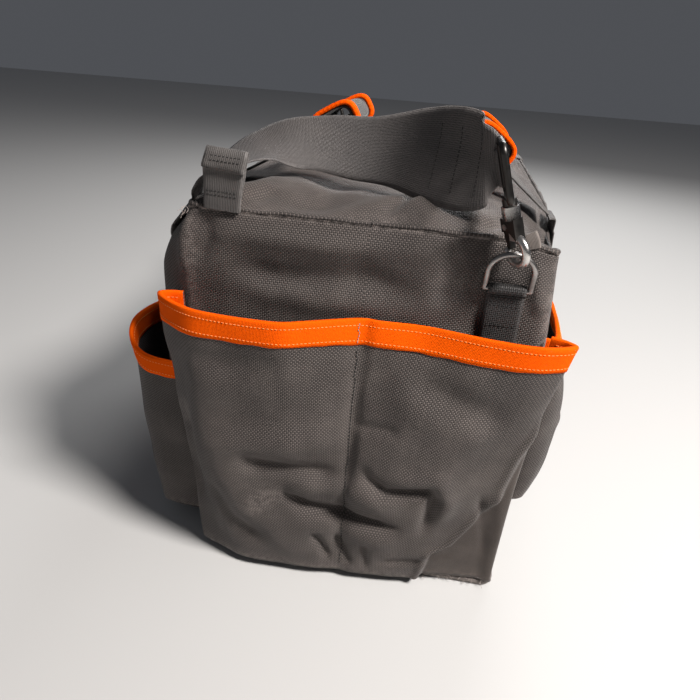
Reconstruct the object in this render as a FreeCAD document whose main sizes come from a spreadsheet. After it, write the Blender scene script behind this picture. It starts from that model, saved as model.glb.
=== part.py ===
"""Soft gear bag with end pockets, side pockets, a shoulder strap and carry handles.

Frame: millimetres, +Z up, the origin is the centre of the base's underside. The bag's length runs
along Y and its front end faces -Y. Left is -X. Soft pieces are plain closed solids of the true size.
"""
import FreeCAD, Part
import Sketcher
import math
import os
import re

Vector = FreeCAD.Vector
Rotation = FreeCAD.Rotation
Placement = FreeCAD.Placement

doc = FreeCAD.newDocument("GearBag")

# ---------------------------------------------------------------------------------------------
# Driving dimensions
# ---------------------------------------------------------------------------------------------
DRIVING = {
    # shell
    "bag_width": 340, "bag_length": 560, "bag_height": 400,
    "cloth": 2, "foam": 6, "lining_cloth": 1, "board_thick": 3,
    "roof_rise": 14, "roof_inset": 60,
    "base_trim_height": 8, "base_trim_thick": 1.5,
    # pockets: every pocket is a bellows of one cloth, divided by sewn seams
    "seam_web": 3, "binding_height": 24, "binding_thick": 1.2,
    "end_pocket_floor": 12, "end_pocket_height": 303,
    "end_pocket_base_half": 164, "end_pocket_mouth_half": 186,
    "end_pocket_base_depth": 10, "end_pocket_mouth_depth": 41,
    "left_pocket_floor": 28, "left_pocket_height": 222,
    "right_pocket_floor": 110, "right_pocket_height": 196,
    "side_pocket_base_half": 262, "side_pocket_mouth_half": 268,
    "left_base_depth": 64, "left_mouth_depth": 86,
    "right_base_depth": 48, "right_mouth_depth": 26,
    # zip in the top
    "zip_front": -110, "zip_back": 205, "zip_slot_half": 11,
    "tape_width": 11, "tape_thick": 0.9, "coil_half": 3, "coil_gap": 2, "coil_thick": 2.4,
    "slider_post": 1.2,
    "slider_width": 12, "slider_length": 16, "slider_thick": 7.6, "slider_play": 0.3,
    "front_slider_y": 34, "rear_slider_y": 66,
    "pull_width": 9, "pull_length": 26, "pull_thick": 1.6, "pull_bar": 0.8, "pull_window": 9,
    "pull_cord": 3, "pull_loop": 34,
    # webbing, rings and tabs
    "webbing_thick": 2.5, "tab_width": 36, "ring_tab_width": 33, "ring_x": 125, "ring_bar_z": 357,
    "ring_wire": 5, "ring_half": 19.6, "ring_leg": 17, "ring_lean": 17,
    "ring_tab_foot": 300, "rear_ring_drop": 42,
    "grab_tab_x": 132, "grab_tab_top": 452, "grab_tab_thick": 5,
    # snap hooks, measured along the hook's own axis from the centre of its bowl
    "bowl_radius": 12.2, "hook_wire": 7.2, "hook_lean": 18, "hook_turn": 56, "hook_lift": 3.5,
    "boss_radius": 7.5, "boss_low": 27, "boss_high": 38, "swivel_radius": 2.8, "swivel_play": 0.05,
    "eye_low": 44, "eye_high": 88, "eye_half": 22, "eye_wire": 6, "eye_corner": 6,
    "rivet_x": -5, "rivet_z": 21, "rivet_radius": 1.6, "rivet_play": 0.05,
    "trigger_thick": 5.6, "ear_half": 4.8, "spring_x": -2.6, "spring_radius": 1.4, "spring_wire": 0.7,
    # shoulder strap
    "strap_thick": 2.4, "strap_half": 31, "strap_side_x": -197, "strap_side_z": 319,
    "adjuster_y": 55, "adjuster_half_length": 14, "adjuster_rim": 5, "adjuster_thick": 7.2,
    "adjuster_play": 0.5,
    # handles
    "handle_hinge_x": 160, "handle_hinge_z": 408, "handle_foot_y": 190, "left_rise": 98.4, "right_rise": 66,
    "grip_half": 65, "grip_width": 44, "grip_thick": 26, "grip_band": 11,
    "left_lean": 60, "right_lean": 53.7,
    "anchor_foot": 275, "anchor_top": 402.6, "anchor_half": 19,
}

sheet = doc.addObject("Spreadsheet::Sheet", "Dims")
sheet.Label = "driving dimensions"
for row, (alias, value) in enumerate(DRIVING.items(), start=1):
    sheet.set(f"A{row}", alias)
    sheet.set(f"B{row}", str(value))
    sheet.setAlias(f"B{row}", alias)
doc.recompute()

NODES = {}


def cell(alias):
    """A driving dimension's number, for shapes and placements that are worked out in code."""
    return float(getattr(sheet, alias))


def bound(text):
    """An expression on the driving dimensions, from plain arithmetic on their aliases."""
    def named(word):
        return f"Dims.{word.group(0)}" if word.group(0) in DRIVING else word.group(0)

    return re.sub(r"[a-z][a-z_]+", named, text)


def bind(obj, **expressions):
    """Bind properties to the sheet: a double underscore stands for the dot of a nested property."""
    for name, text in expressions.items():
        obj.setExpression(name.replace("__", "."), bound(str(text)))
    return obj


def place(obj, at=None, turn=None):
    """Turn an object, then bind its position to three expressions."""
    obj.Placement = Placement(Vector(), turn or Rotation())
    if at:
        bind(obj, Placement__Base__x=at[0], Placement__Base__y=at[1], Placement__Base__z=at[2])
    return obj


def node(obj, label):
    """Name an object as a sub-part."""
    obj.Label = label
    NODES[label] = obj
    return obj


def box(name, x_range, y_range, z_range):
    """A box between pairs of expressions."""
    obj = doc.addObject("Part::Box", name)
    spans = [f"({high}) - ({low})" for low, high in (x_range, y_range, z_range)]
    bind(obj, Length=spans[0], Width=spans[1], Height=spans[2])
    return place(obj, (x_range[0], y_range[0], z_range[0]))


def cylinder(name, radius, height, at, turn=None):
    obj = doc.addObject("Part::Cylinder", name)
    bind(obj, Radius=radius, Height=height)
    return place(obj, at, turn)


def cut(name, base, tool):
    obj = doc.addObject("Part::Cut", name)
    obj.Base = base
    obj.Tool = tool
    return obj


def fuse(name, shapes):
    obj = doc.addObject("Part::MultiFuse", name)
    obj.Shapes = shapes
    obj.Refine = True
    return obj


def group(name, shapes):
    """Separate solids that make one sub-part."""
    obj = doc.addObject("Part::Compound", name)
    obj.Links = shapes
    return obj


# the hook's bowl runs from its tip at this angle, in degrees, round to its neck
BOWL_START = -170
# the outline of the hook's trigger, x and z from the bowl's centre
TRIGGER = [(-9.3, 23.6), (-1.0, 23.6), (-1.0, 19.5), (-3.4, 15.0),
           (-3.8, 1.5), (-7.3, 1.5), (-9.2, 12.0), (-9.6, 18.0)]
# a squared end of ribbed seam tape that stands out of the right front corner: x range and z range
TAPE_END = ((134, 148), ("bag_height - 6", "bag_height + 8"))

UPRIGHT = Rotation(Vector(1, 0, 0), 90)
ALONG_X = Rotation(Vector(0, 1, 0), 90)
ALONG_Y = Rotation(Vector(1, 0, 0), -90)


def frustum(name, low, high, base, top, heading=0):
    """A tapered block from height low to high. base and top are (half width, depth in, depth out);
    the depth runs towards -Y, then the block turns about Z by heading."""
    obj = doc.addObject("Part::Wedge", name)
    bind(obj, Ymin=0, Ymax=f"({high}) - ({low})",
         Xmin=f"-({base[0]})", Xmax=base[0], Zmin=base[1], Zmax=base[2],
         X2min=f"-({top[0]})", X2max=top[0], Z2min=top[1], Z2max=top[2])
    turn = Rotation(Vector(0, 0, 1), heading).multiply(UPRIGHT)
    return place(obj, ("0", "0", low), turn)


# ---------------------------------------------------------------------------------------------
# Shell: outer cloth, stiffening board, foam and lining
# ---------------------------------------------------------------------------------------------
HALF_X = "bag_width / 2"
HALF_Y = "bag_length / 2"


def shell():
    inner_x = f"{HALF_X} - cloth"
    inner_y = f"{HALF_Y} - cloth"
    wall_top = "bag_height - cloth"
    node(box("BasePanel", (f"-{HALF_X}", HALF_X), (f"-{HALF_Y}", HALF_Y), ("0", "cloth")), "base_panel")
    for side, sign in (("left", "-"), ("right", "")):
        low, high = (f"-{HALF_X}", f"-({inner_x})") if sign else (inner_x, HALF_X)
        panel = box(f"{side}Panel", (low, high), (f"-{HALF_Y}", HALF_Y), ("cloth", wall_top))
        node(panel, f"{side}_side_panel")
    for end, sign in (("front", "-"), ("rear", "")):
        low, high = (f"-{HALF_Y}", f"-({inner_y})") if sign else (inner_y, HALF_Y)
        panel = box(f"{end}Panel", (f"-({inner_x})", inner_x), (low, high), ("cloth", wall_top))
        node(panel, f"{end}_end_panel")

    foam_x = f"{inner_x} - foam"
    foam_y = f"{inner_y} - foam"
    foam_top = "bag_height - 10"
    foam = []
    for name, x_range, y_range in (
            ("FoamLeft", (f"-({inner_x})", f"-({foam_x})"), (f"-({inner_y})", inner_y)),
            ("FoamRight", (foam_x, inner_x), (f"-({inner_y})", inner_y)),
            ("FoamFront", (f"-({foam_x})", foam_x), (f"-({inner_y})", f"-({foam_y})")),
            ("FoamRear", (f"-({foam_x})", foam_x), (foam_y, inner_y))):
        foam.append(box(name, x_range, y_range, ("cloth", foam_top)))
    node(group("WallFoam", foam), "wall_foam")

    lining_low = "cloth + board_thick"
    outer = box("LiningOuter", (f"-({foam_x})", foam_x), (f"-({foam_y})", foam_y), (lining_low, foam_top))
    hollow_x = f"{foam_x} - lining_cloth"
    hollow_y = f"{foam_y} - lining_cloth"
    hollow = box("LiningHollow", (f"-({hollow_x})", hollow_x), (f"-({hollow_y})", hollow_y),
                 (f"{lining_low} + lining_cloth", "bag_height"))
    node(cut("Lining", outer, hollow), "lining")

    trim_x = f"{HALF_X} + base_trim_thick"
    trim_y = f"{HALF_Y} + base_trim_thick"
    trim = box("TrimOuter", (f"-({trim_x})", trim_x), (f"-({trim_y})", trim_y), ("0.3", "base_trim_height"))
    core = box("TrimCore", (f"-{HALF_X}", HALF_X), (f"-{HALF_Y}", HALF_Y), ("0", "base_trim_height + 1"))
    node(cut("BaseTrim", trim, core), "base_seam_binding")


def rounded_plate(name, label, half_x, half_y, thick, low, corner):
    """A flat plate with round corners, sketched on its body's XY plane."""
    body = doc.addObject("PartDesign::Body", name)
    sketch = body.newObject("Sketcher::SketchObject", f"{name}Sketch")
    plane = [f for f in body.Origin.OriginFeatures if f.Role == "XY_Plane"][0]
    sketch.AttachmentSupport = [(plane, "")]
    sketch.MapMode = "FlatFace"
    rx, ry = 10, 10
    corners = [Vector(-rx, -ry), Vector(rx, -ry), Vector(rx, ry), Vector(-rx, ry)]
    for start, end in zip(corners, corners[1:] + corners[:1]):
        sketch.addGeometry(Part.LineSegment(start, end), False)
    rule = Sketcher.Constraint
    for edge in range(4):
        sketch.addConstraint(rule("Coincident", edge, 2, (edge + 1) % 4, 1))
    for edge, direction in enumerate(("Horizontal", "Vertical", "Horizontal", "Vertical")):
        sketch.addConstraint(rule(direction, edge))
    sketch.addConstraint(rule("Symmetric", 0, 1, 1, 2, -1, 1))
    across = sketch.addConstraint(rule("DistanceX", 0, 1, 0, 2, 2.0 * rx))
    along = sketch.addConstraint(rule("DistanceY", 1, 1, 1, 2, 2.0 * ry))
    sketch.setExpression(f"Constraints[{across}]", bound(f"2 * ({half_x})"))
    sketch.setExpression(f"Constraints[{along}]", bound(f"2 * ({half_y})"))
    pad = body.newObject("PartDesign::Pad", f"{name}Pad")
    pad.Profile = sketch
    bind(pad, Length=thick)
    doc.recompute()
    upright = [f"Edge{i + 1}" for i, edge in enumerate(pad.Shape.Edges)
               if abs(edge.Vertexes[0].Z - edge.Vertexes[-1].Z) > 0.5 * pad.Length.Value]
    fillet = body.newObject("PartDesign::Fillet", f"{name}Fillet")
    fillet.Base = (pad, upright)
    fillet.Radius = corner
    body.Tip = fillet
    place(body, ("0", "0", low))
    return node(body, label)


def roof():
    """The top cloth: a hipped roof that the load pushes up, slotted for the zip."""
    edge_x, edge_y = HALF_X, HALF_Y
    flat_x = f"{HALF_X} - roof_inset"
    flat_y = f"{HALF_Y} - roof_inset"
    top = "bag_height + roof_rise"
    outer = frustum("RoofOuter", "bag_height - cloth", top,
                    (edge_x, f"-({edge_y})", edge_y), (flat_x, f"-({flat_y})", flat_y))
    inner = frustum("RoofInner", "bag_height - cloth - 1", f"{top} - cloth",
                    (f"{edge_x} - cloth", f"-({edge_y} - cloth)", f"{edge_y} - cloth"),
                    (flat_x, f"-({flat_y})", flat_y))
    slot = box("ZipSlot", ("-zip_slot_half", "zip_slot_half"), ("zip_front", "zip_back"),
               ("bag_height", "bag_height + roof_rise + 10"))
    node(cut("TopPanel", cut("RoofShell", outer, inner), slot), "top_panel")


# ---------------------------------------------------------------------------------------------
# Bellows pockets with a bound mouth
# ---------------------------------------------------------------------------------------------
def pocket(label, wall, floor, height, base_half, mouth_half, base_depth, mouth_depth, cells, heading):
    """A pocket open at the top and backed by the bag's wall, divided into cells by sewn seams,
    and the folded tape that binds its mouth."""
    name = label.title().replace("_", "")
    top = f"{floor} + {height}"

    def at_height(low_value, high_value, z):
        return f"({low_value}) + (({high_value}) - ({low_value})) * (({z}) - ({floor})) / ({height})"

    def shape(suffix, low, high, grow):
        """The pocket's outside, or its inside where grow is negative, between two heights."""
        halves = [f"{at_height(base_half, mouth_half, z)} + ({grow})" for z in (low, high)]
        depths = [f"({wall}) + {at_height(base_depth, mouth_depth, z)} + ({grow})" for z in (low, high)]
        return frustum(name + suffix, low, high, (halves[0], wall, depths[0]),
                       (halves[1], wall, depths[1]), heading)

    def webs(suffix, low, high, thick):
        """The sewn seams that divide the pocket, as thin walls from the bag to the pocket's face."""
        walls = []
        for index in range(1, cells):
            place_x = f"({mouth_half}) * {2 * index / cells - 1}"
            web = box(f"{name}{suffix}{index}", (f"-({thick}) / 2", f"({thick}) / 2"),
                      (f"-({wall}) - 200", f"-({wall})"), (low, high))
            turn = Rotation(Vector(0, 0, 1), heading)
            across = turn.multVec(Vector(1, 0, 0))
            away = turn.multVec(Vector(0, 1, 0))
            offset_x = f"({place_x} - ({thick}) / 2)"
            offset_y = f"(-({wall}) - 200)"
            web.Placement = Placement(Vector(), turn)
            bind(web,
                 Placement__Base__x=f"{offset_x} * {round(across.x)} + {offset_y} * {round(away.x)}",
                 Placement__Base__y=f"{offset_x} * {round(across.y)} + {offset_y} * {round(away.y)}",
                 Placement__Base__z=low)
            walls.append(web)
        return walls[0] if len(walls) == 1 else group(name + suffix + "All", walls)

    lift = "cloth"
    inside = cut(name + "Cells", shape("Inside", f"{floor} + {lift}", f"{top} + 1", "-cloth"),
                 webs("Web", floor, f"{top} + 2", "seam_web"))
    body = cut(name + "Body", shape("Outside", floor, top, "0"), inside)
    node(body, label)

    fold = "binding_thick"
    band_low = f"{top} - binding_height"
    band_high = f"{top} + {fold}"
    band = shape("BandOut", band_low, band_high, fold)
    band_cells = cut(name + "BandCells",
                     shape("BandIn", f"{band_low} - 1", f"{band_high} + 1", f"-cloth - {fold}"),
                     webs("BandWeb", f"{band_low} - 2", f"{band_high} + 2", f"seam_web + 2 * {fold}"))
    hollow = cut(name + "Ring", band, band_cells)
    node(cut(name + "Binding", hollow, body), f"{label}_binding")


def pockets():
    for end, heading in (("front", 0), ("rear", 180)):
        pocket(f"{end}_pocket", HALF_Y, "end_pocket_floor", "end_pocket_height", "end_pocket_base_half",
               "end_pocket_mouth_half", "end_pocket_base_depth", "end_pocket_mouth_depth", 2, heading)
    for side, heading in (("left", -90), ("right", 90)):
        pocket(f"{side}_pocket", HALF_X, f"{side}_pocket_floor", f"{side}_pocket_height", "side_pocket_base_half",
               "side_pocket_mouth_half", f"{side}_base_depth", f"{side}_mouth_depth", 4, heading)


# ---------------------------------------------------------------------------------------------
# Zip: two tapes, two rows of coil, two sliders with pulls and cord loops
# ---------------------------------------------------------------------------------------------
ROOF_TOP = "bag_height + roof_rise"
TAPE_TOP = f"({ROOF_TOP} - cloth)"
COIL_MID = f"({TAPE_TOP} - tape_thick / 2)"


def zip_rows():
    for side, sign in (("left", -1), ("right", 1)):
        spans = []
        for near, far in (("coil_half", "coil_half + tape_width"), ("coil_gap / 2", "coil_half")):
            spans.append((near, far) if sign > 0 else (f"-({far})", f"-({near})"))
        tape = box(f"Tape{side}", spans[0], ("zip_front - 12", "zip_back + 12"),
                   (f"{TAPE_TOP} - tape_thick", TAPE_TOP))
        node(tape, f"zip_tape_{side}")
        coil = box(f"Coil{side}", spans[1], ("zip_front", "zip_back"),
                   (f"{COIL_MID} - coil_thick / 2", f"{COIL_MID} + coil_thick / 2"))
        node(coil, f"zip_coil_{side}")


def slider(end, centre, sign):
    """A slider that straddles the tapes and coil, with a bridge on top that holds the pull."""
    half_w, half_l = "slider_width / 2", "slider_length / 2"
    low = f"{COIL_MID} - slider_thick / 2"
    high = f"{COIL_MID} + slider_thick / 2"
    span_y = (f"{centre} - {half_l}", f"{centre} + {half_l}")
    block = box(f"{end}Block", (f"-{half_w}", half_w), span_y, (low, high))
    through = (f"{centre} - slider_length", f"{centre} + slider_length")
    tape_gap = box(f"{end}TapeGap", ("-slider_width", "slider_width"), through,
                   (f"{TAPE_TOP} - tape_thick - slider_play", f"{TAPE_TOP} + slider_play"))
    coil_gap = box(f"{end}CoilGap", ("-coil_half - slider_play", "coil_half + slider_play"), through,
                   (f"{COIL_MID} - coil_thick / 2 - slider_play", f"{COIL_MID} + coil_thick / 2 + slider_play"))
    plates = cut(f"{end}Plates", cut(f"{end}Opened", block, tape_gap), coil_gap)
    bridge_out = box(f"{end}BridgeOut", ("-2.2", "2.2"), (f"{centre} - 6.5", f"{centre} + 6.5"),
                     (high, f"{high} + 5.2"))
    bridge_in = box(f"{end}BridgeIn", ("-4", "4"), (f"{centre} - 4.6", f"{centre} + 4.6"),
                    (f"{high} - 0.01", f"{high} + 3.6"))
    bridge = cut(f"{end}Bridge", bridge_out, bridge_in)
    post = box(f"{end}Post", ("-slider_post / 2", "slider_post / 2"),
               (f"{centre} + {sign * 3} - 2", f"{centre} + {sign * 3} + 2"), (low, high))
    node(fuse(f"{end}Slider", [plates, bridge, post]), f"{end}_slider")

    hinge_y = f"{centre} + {sign * 2.6}"
    hinge_z = f"{high} + 2"
    arm_y = (f"{hinge_y} - pull_bar", f"{hinge_y} + pull_length")
    window_y = (f"{hinge_y} + pull_bar", f"{hinge_y} + pull_window")
    if sign < 0:
        arm_y = (f"{hinge_y} - pull_length", f"{hinge_y} + pull_bar")
        window_y = (f"{hinge_y} - pull_window", f"{hinge_y} - pull_bar")
    arm = box(f"{end}Arm", ("-pull_width / 2", "pull_width / 2"), arm_y,
              (f"{hinge_z} - pull_thick / 2", f"{hinge_z} + pull_thick / 2"))
    window = box(f"{end}Window", ("-3", "3"), window_y, (f"{hinge_z} - 5", f"{hinge_z} + 5"))
    tail = f"{hinge_y} + {sign} * (pull_length - 4)"
    eyelet = cylinder(f"{end}Eyelet", "pull_cord / 2 + 0.3", "10", ("0", tail, f"{hinge_z} - 5"))
    node(cut(f"{end}Pull", cut(f"{end}PullOpened", arm, window), eyelet), f"{end}_pull")
    return hinge_y, hinge_z, tail


def cord_loop(end, tail, hinge_z, lean):
    """A stiff cord loop through the pull's eyelet, standing up in a hairpin, made of straight runs
    and one half turn."""
    radius = cell("pull_cord") / 2
    rise = cell("pull_loop")
    half = 7.0
    foot = Vector(0, 0, 0)
    left, right = Vector(-half, 0, rise - half), Vector(half, 0, rise - half)
    crown = Vector(0, 0, rise)
    knot = Part.makeSphere(2.4 * radius, Vector(0, 0, 0))
    arch = Part.Wire([Part.LineSegment(foot, left).toShape(), Part.Arc(left, crown, right).toShape(),
                      Part.LineSegment(right, foot).toShape()])
    pieces = []
    for edge in arch.Edges:
        start = edge.valueAt(edge.FirstParameter)
        run = edge.tangentAt(edge.FirstParameter)
        ring = Part.Wire([Part.makeCircle(radius, start, run)])
        pieces.append(Part.Wire([edge]).makePipeShell([ring], True, False))
        pieces.append(Part.makeSphere(radius, start))
    stem = Part.makeCylinder(radius, 6, Vector(0, 0, -4), Vector(0, 0, 1))
    shape = knot.multiFuse(pieces + [stem]).removeSplitter()
    obj = doc.addObject("Part::Feature", f"{end}PullLoop")
    obj.Shape = shape
    y = number(tail)
    z = number(hinge_z) + cell("pull_thick") / 2 + 2.4 * radius + 0.25
    obj.Placement = Placement(Vector(0, y, z), Rotation(Vector(1, 0, 0), lean))
    node(obj, f"{end}_pull_loop")


def number(text):
    """The value of an expression on the driving dimensions."""
    value = bound(text)
    for alias in sorted(DRIVING, key=len, reverse=True):
        value = re.sub(rf"Dims\.{alias}\b", repr(cell(alias)), value)
    return arithmetic(value)


def arithmetic(text):
    """Work out + - * / and brackets on plain numbers."""
    quantity = FreeCAD.Units.Quantity(text)
    return float(quantity.Value)


# ---------------------------------------------------------------------------------------------
# D rings, their webbing tabs, and the grab tabs
# ---------------------------------------------------------------------------------------------
def rear_drop(heading):
    """The rear ring and all that hangs on it sit lower than the front one."""
    return cell("rear_ring_drop") if heading == 180 else 0


def end_place(obj, heading, spot, turn=None):
    """Put a piece drawn for the front end there, or turned half round and lower for the rear end."""
    spin = Rotation(Vector(0, 0, 1), heading)
    spot = spot - Vector(0, 0, rear_drop(heading))
    obj.Placement = Placement(spin.multVec(spot), spin.multiply(turn or Rotation()))
    return obj


def ring_y():
    """The ring's bar lies against its webbing tab."""
    return -(cell("bag_length") / 2 + cell("webbing_thick") + cell("ring_wire") / 2 + 0.3)


def d_ring(end, heading):
    wire = "ring_wire / 2"
    bar = cylinder(f"{end}Bar", wire, "2 * ring_half", ("-ring_half", "0", "0"), ALONG_X)
    legs = [cylinder(f"{end}Leg{i}", wire, "ring_leg", (x, "0", "0"))
            for i, x in enumerate(("-ring_half", "ring_half"))]
    bow = doc.addObject("Part::Torus", f"{end}Bow")
    bind(bow, Radius1="ring_half", Radius2=wire, Angle3="180")
    place(bow, ("0", "0", "ring_leg"), UPRIGHT)
    balls = []
    for i, x in enumerate(("-ring_half", "ring_half")):
        ball = doc.addObject("Part::Sphere", f"{end}Ball{i}")
        bind(ball, Radius=wire)
        balls.append(place(ball, (x, "0", "0")))
    ring = fuse(f"{end}Ring", [bar, bow] + legs + balls)
    lean = Rotation(Vector(1, 0, 0), cell("ring_lean"))
    end_place(ring, heading, Vector(cell("ring_x"), ring_y(), cell("ring_bar_z")), lean)
    node(ring, f"{end}_d_ring")


def ring_tab(end, heading):
    """Webbing sewn to the end panel, wrapped round the ring's bar."""
    gap = "ring_wire / 2 + 0.3"
    half = "ring_tab_width / 2"
    back = box(f"{end}TabBack", (f"-{half}", half), (f"-({gap}) - webbing_thick", f"-({gap})"),
               ("ring_tab_foot - ring_bar_z", "0"))
    sleeve = cylinder(f"{end}Sleeve", f"{gap} + webbing_thick", "ring_tab_width", (f"-{half}", "0", "0"), ALONG_X)
    bore = cylinder(f"{end}SleeveBore", gap, "ring_tab_width + 2", (f"-{half} - 1", "0", "0"), ALONG_X)
    place(back, (f"-{half}", f"{gap}", "ring_tab_foot - ring_bar_z"))
    tab = cut(f"{end}RingTab", fuse(f"{end}TabWhole", [back, sleeve]), bore)
    end_place(tab, heading, Vector(cell("ring_x"), ring_y(), cell("ring_bar_z")))
    node(tab, f"{end}_ring_tab")


def grab_tab(end, heading):
    """A stiff folded webbing tab that stands up out of the top seam, with a slot below its fold."""
    half = "tab_width / 2"
    low = "bag_height - 5"
    plate = box(f"{end}TabPlate", (f"-{half}", half), ("-grab_tab_thick", "0"), (low, "grab_tab_top"))
    slot = box(f"{end}TabSlot", (f"-{half} + 4", f"{half} - 4"), ("-grab_tab_thick - 1", "1"),
               ("grab_tab_top - 21", "grab_tab_top - 16.5"))
    tab = cut(f"{end}GrabTab", plate, slot)
    end_place(tab, heading, Vector(-cell("grab_tab_x"), -cell("bag_length") / 2, 0))
    node(tab, f"{end}_grab_tab")


# ---------------------------------------------------------------------------------------------
# Snap hooks
# ---------------------------------------------------------------------------------------------
def hook_centre():
    """The centre of the hook's bowl, just above the wire at the crown of the leaning ring."""
    lean = math.radians(cell("ring_lean"))
    reach = cell("ring_leg") + cell("ring_half")
    return (cell("ring_x"), ring_y() - reach * math.sin(lean),
            cell("ring_bar_z") + reach * math.cos(lean) + cell("hook_lift"))


def hook_turned(side, about_axis):
    """Turn the hook about its own axis, then lean it towards the strap, side -1 or 1 along X."""
    lean = Rotation(Vector(0, 1, 0), side * cell("hook_lean"))
    return lean.multiply(Rotation(Vector(0, 0, 1), about_axis))


def plate_body(name, points, thick, plane_role, hole=None):
    """A flat piece: an outline sketched on one of its body's planes and padded both ways, with one
    round hole where hole is (x, y, radius)."""
    body = doc.addObject("PartDesign::Body", name)
    plane = [f for f in body.Origin.OriginFeatures if f.Role == plane_role][0]
    outline = body.newObject("Sketcher::SketchObject", f"{name}Outline")
    outline.AttachmentSupport = [(plane, "")]
    outline.MapMode = "FlatFace"
    corners = [Vector(u, v, 0) for u, v in points]
    for start, end in zip(corners, corners[1:] + corners[:1]):
        outline.addGeometry(Part.LineSegment(start, end), False)
    pad = body.newObject("PartDesign::Pad", f"{name}Pad")
    pad.Profile = outline
    pad.Midplane = True
    bind(pad, Length=thick)
    body.Tip = pad
    if hole:
        drill = body.newObject("Sketcher::SketchObject", f"{name}Drill")
        drill.AttachmentSupport = [(plane, "")]
        drill.MapMode = "FlatFace"
        drill.addGeometry(Part.Circle(Vector(hole[0], hole[1], 0), Vector(0, 0, 1), hole[2]), False)
        drilled = body.newObject("PartDesign::Pocket", f"{name}Hole")
        drilled.Profile = drill
        drilled.Type = "ThroughAll"
        drilled.Midplane = True
        body.Tip = drilled
    return body


def hook(end, heading, side):
    """A swivel trigger snap's body, trigger, rivet and spring, drawn with the bowl's centre at the
    origin and the swivel axis up. The bowl is open on the trigger's side, towards -X."""
    wire = "hook_wire / 2"
    centre = Vector(*hook_centre())
    turn = hook_turned(side, -cell("hook_turn") if side < 0 else cell("hook_turn") - 180)

    bowl = doc.addObject("Part::Torus", f"{end}Bowl")
    bind(bowl, Radius1="bowl_radius", Radius2=wire, Angle3="245")
    place(bowl, ("0", "0", "0"), UPRIGHT.multiply(Rotation(Vector(0, 0, 1), BOWL_START)))
    tip = doc.addObject("Part::Sphere", f"{end}Tip")
    bind(tip, Radius=wire)
    tip_angle = math.radians(BOWL_START)
    place(tip, (f"bowl_radius * {math.cos(tip_angle)}", "0", f"bowl_radius * {math.sin(tip_angle)}"))

    neck = box(f"{end}Neck", ("-9.5", "7.5"), ("-ear_half", "ear_half"), ("10", "boss_low + 1"))
    boss = cylinder(f"{end}Boss", "boss_radius", "boss_high - boss_low", ("0", "0", "boss_low"))
    solid = fuse(f"{end}HookSolid", [neck, boss])
    room = "trigger_thick / 2 + 0.15"
    cuts = [
        box(f"{end}TriggerSlot", ("-30", "1.4"), (f"-({room})", room), ("-20", "boss_low - 1")),
        box(f"{end}EarTrim", ("-30", "-0.5"), ("-ear_half - 1", "ear_half + 1"), ("9", "16.5")),
        cylinder(f"{end}HeadRoom", "swivel_radius + 1.6", "4.6", ("0", "0", "boss_low + 1.6")),
        cylinder(f"{end}Bore", "swivel_radius + swivel_play", "20", ("0", "0", "boss_low + 3")),
        cylinder(f"{end}RivetBore", "rivet_radius", "2 * ear_half + 2",
                 ("rivet_x", "-ear_half - 1", "rivet_z"), ALONG_Y),
    ]
    for index, tool in enumerate(cuts):
        solid = cut(f"{end}HookCut{index}", solid, tool)
    whole = fuse(f"{end}HookBody", [solid, bowl, tip])
    node(end_place(whole, heading, centre, turn), f"{end}_hook_body")

    rivet_x, rivet_z = cell("rivet_x"), cell("rivet_z")
    hole = (rivet_x, rivet_z, cell("rivet_radius") + cell("rivet_play"))
    trigger = plate_body(f"{end}Trigger", TRIGGER, "trigger_thick", "XZ_Plane", hole)
    node(end_place(trigger, heading, centre, turn), f"{end}_hook_trigger")

    shank = cylinder(f"{end}Shank", "rivet_radius", "2 * ear_half + 1", ("0", "-ear_half - 0.5", "0"), ALONG_Y)
    heads = [cylinder(f"{end}Head{i}", "rivet_radius + 0.9", "0.5", ("0", y, "0"), ALONG_Y)
             for i, y in enumerate(("-ear_half - 0.5", "ear_half"))]
    rivet = fuse(f"{end}Rivet", [shank] + heads)
    offset = turn.multVec(Vector(rivet_x, 0, rivet_z))
    node(end_place(rivet, heading, centre + offset, turn), f"{end}_hook_rivet")

    turns = []
    for index in range(3):
        ring = doc.addObject("Part::Torus", f"{end}Turn{index}")
        bind(ring, Radius1="spring_radius", Radius2="spring_wire / 2 + 0.01")
        turns.append(place(ring, ("0", "0", f"{index} * spring_wire")))
    spring = fuse(f"{end}Spring", turns)
    offset = turn.multVec(Vector(cell("spring_x"), 0, TRIGGER[0][1] + cell("spring_wire") / 2 + 0.02))
    node(end_place(spring, heading, centre + offset, turn), f"{end}_hook_spring")


def eye_turn(heading):
    """The strap pulls the rear eye round on its pin, to face the bag's left side."""
    return -90 if heading == 180 else 0


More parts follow.
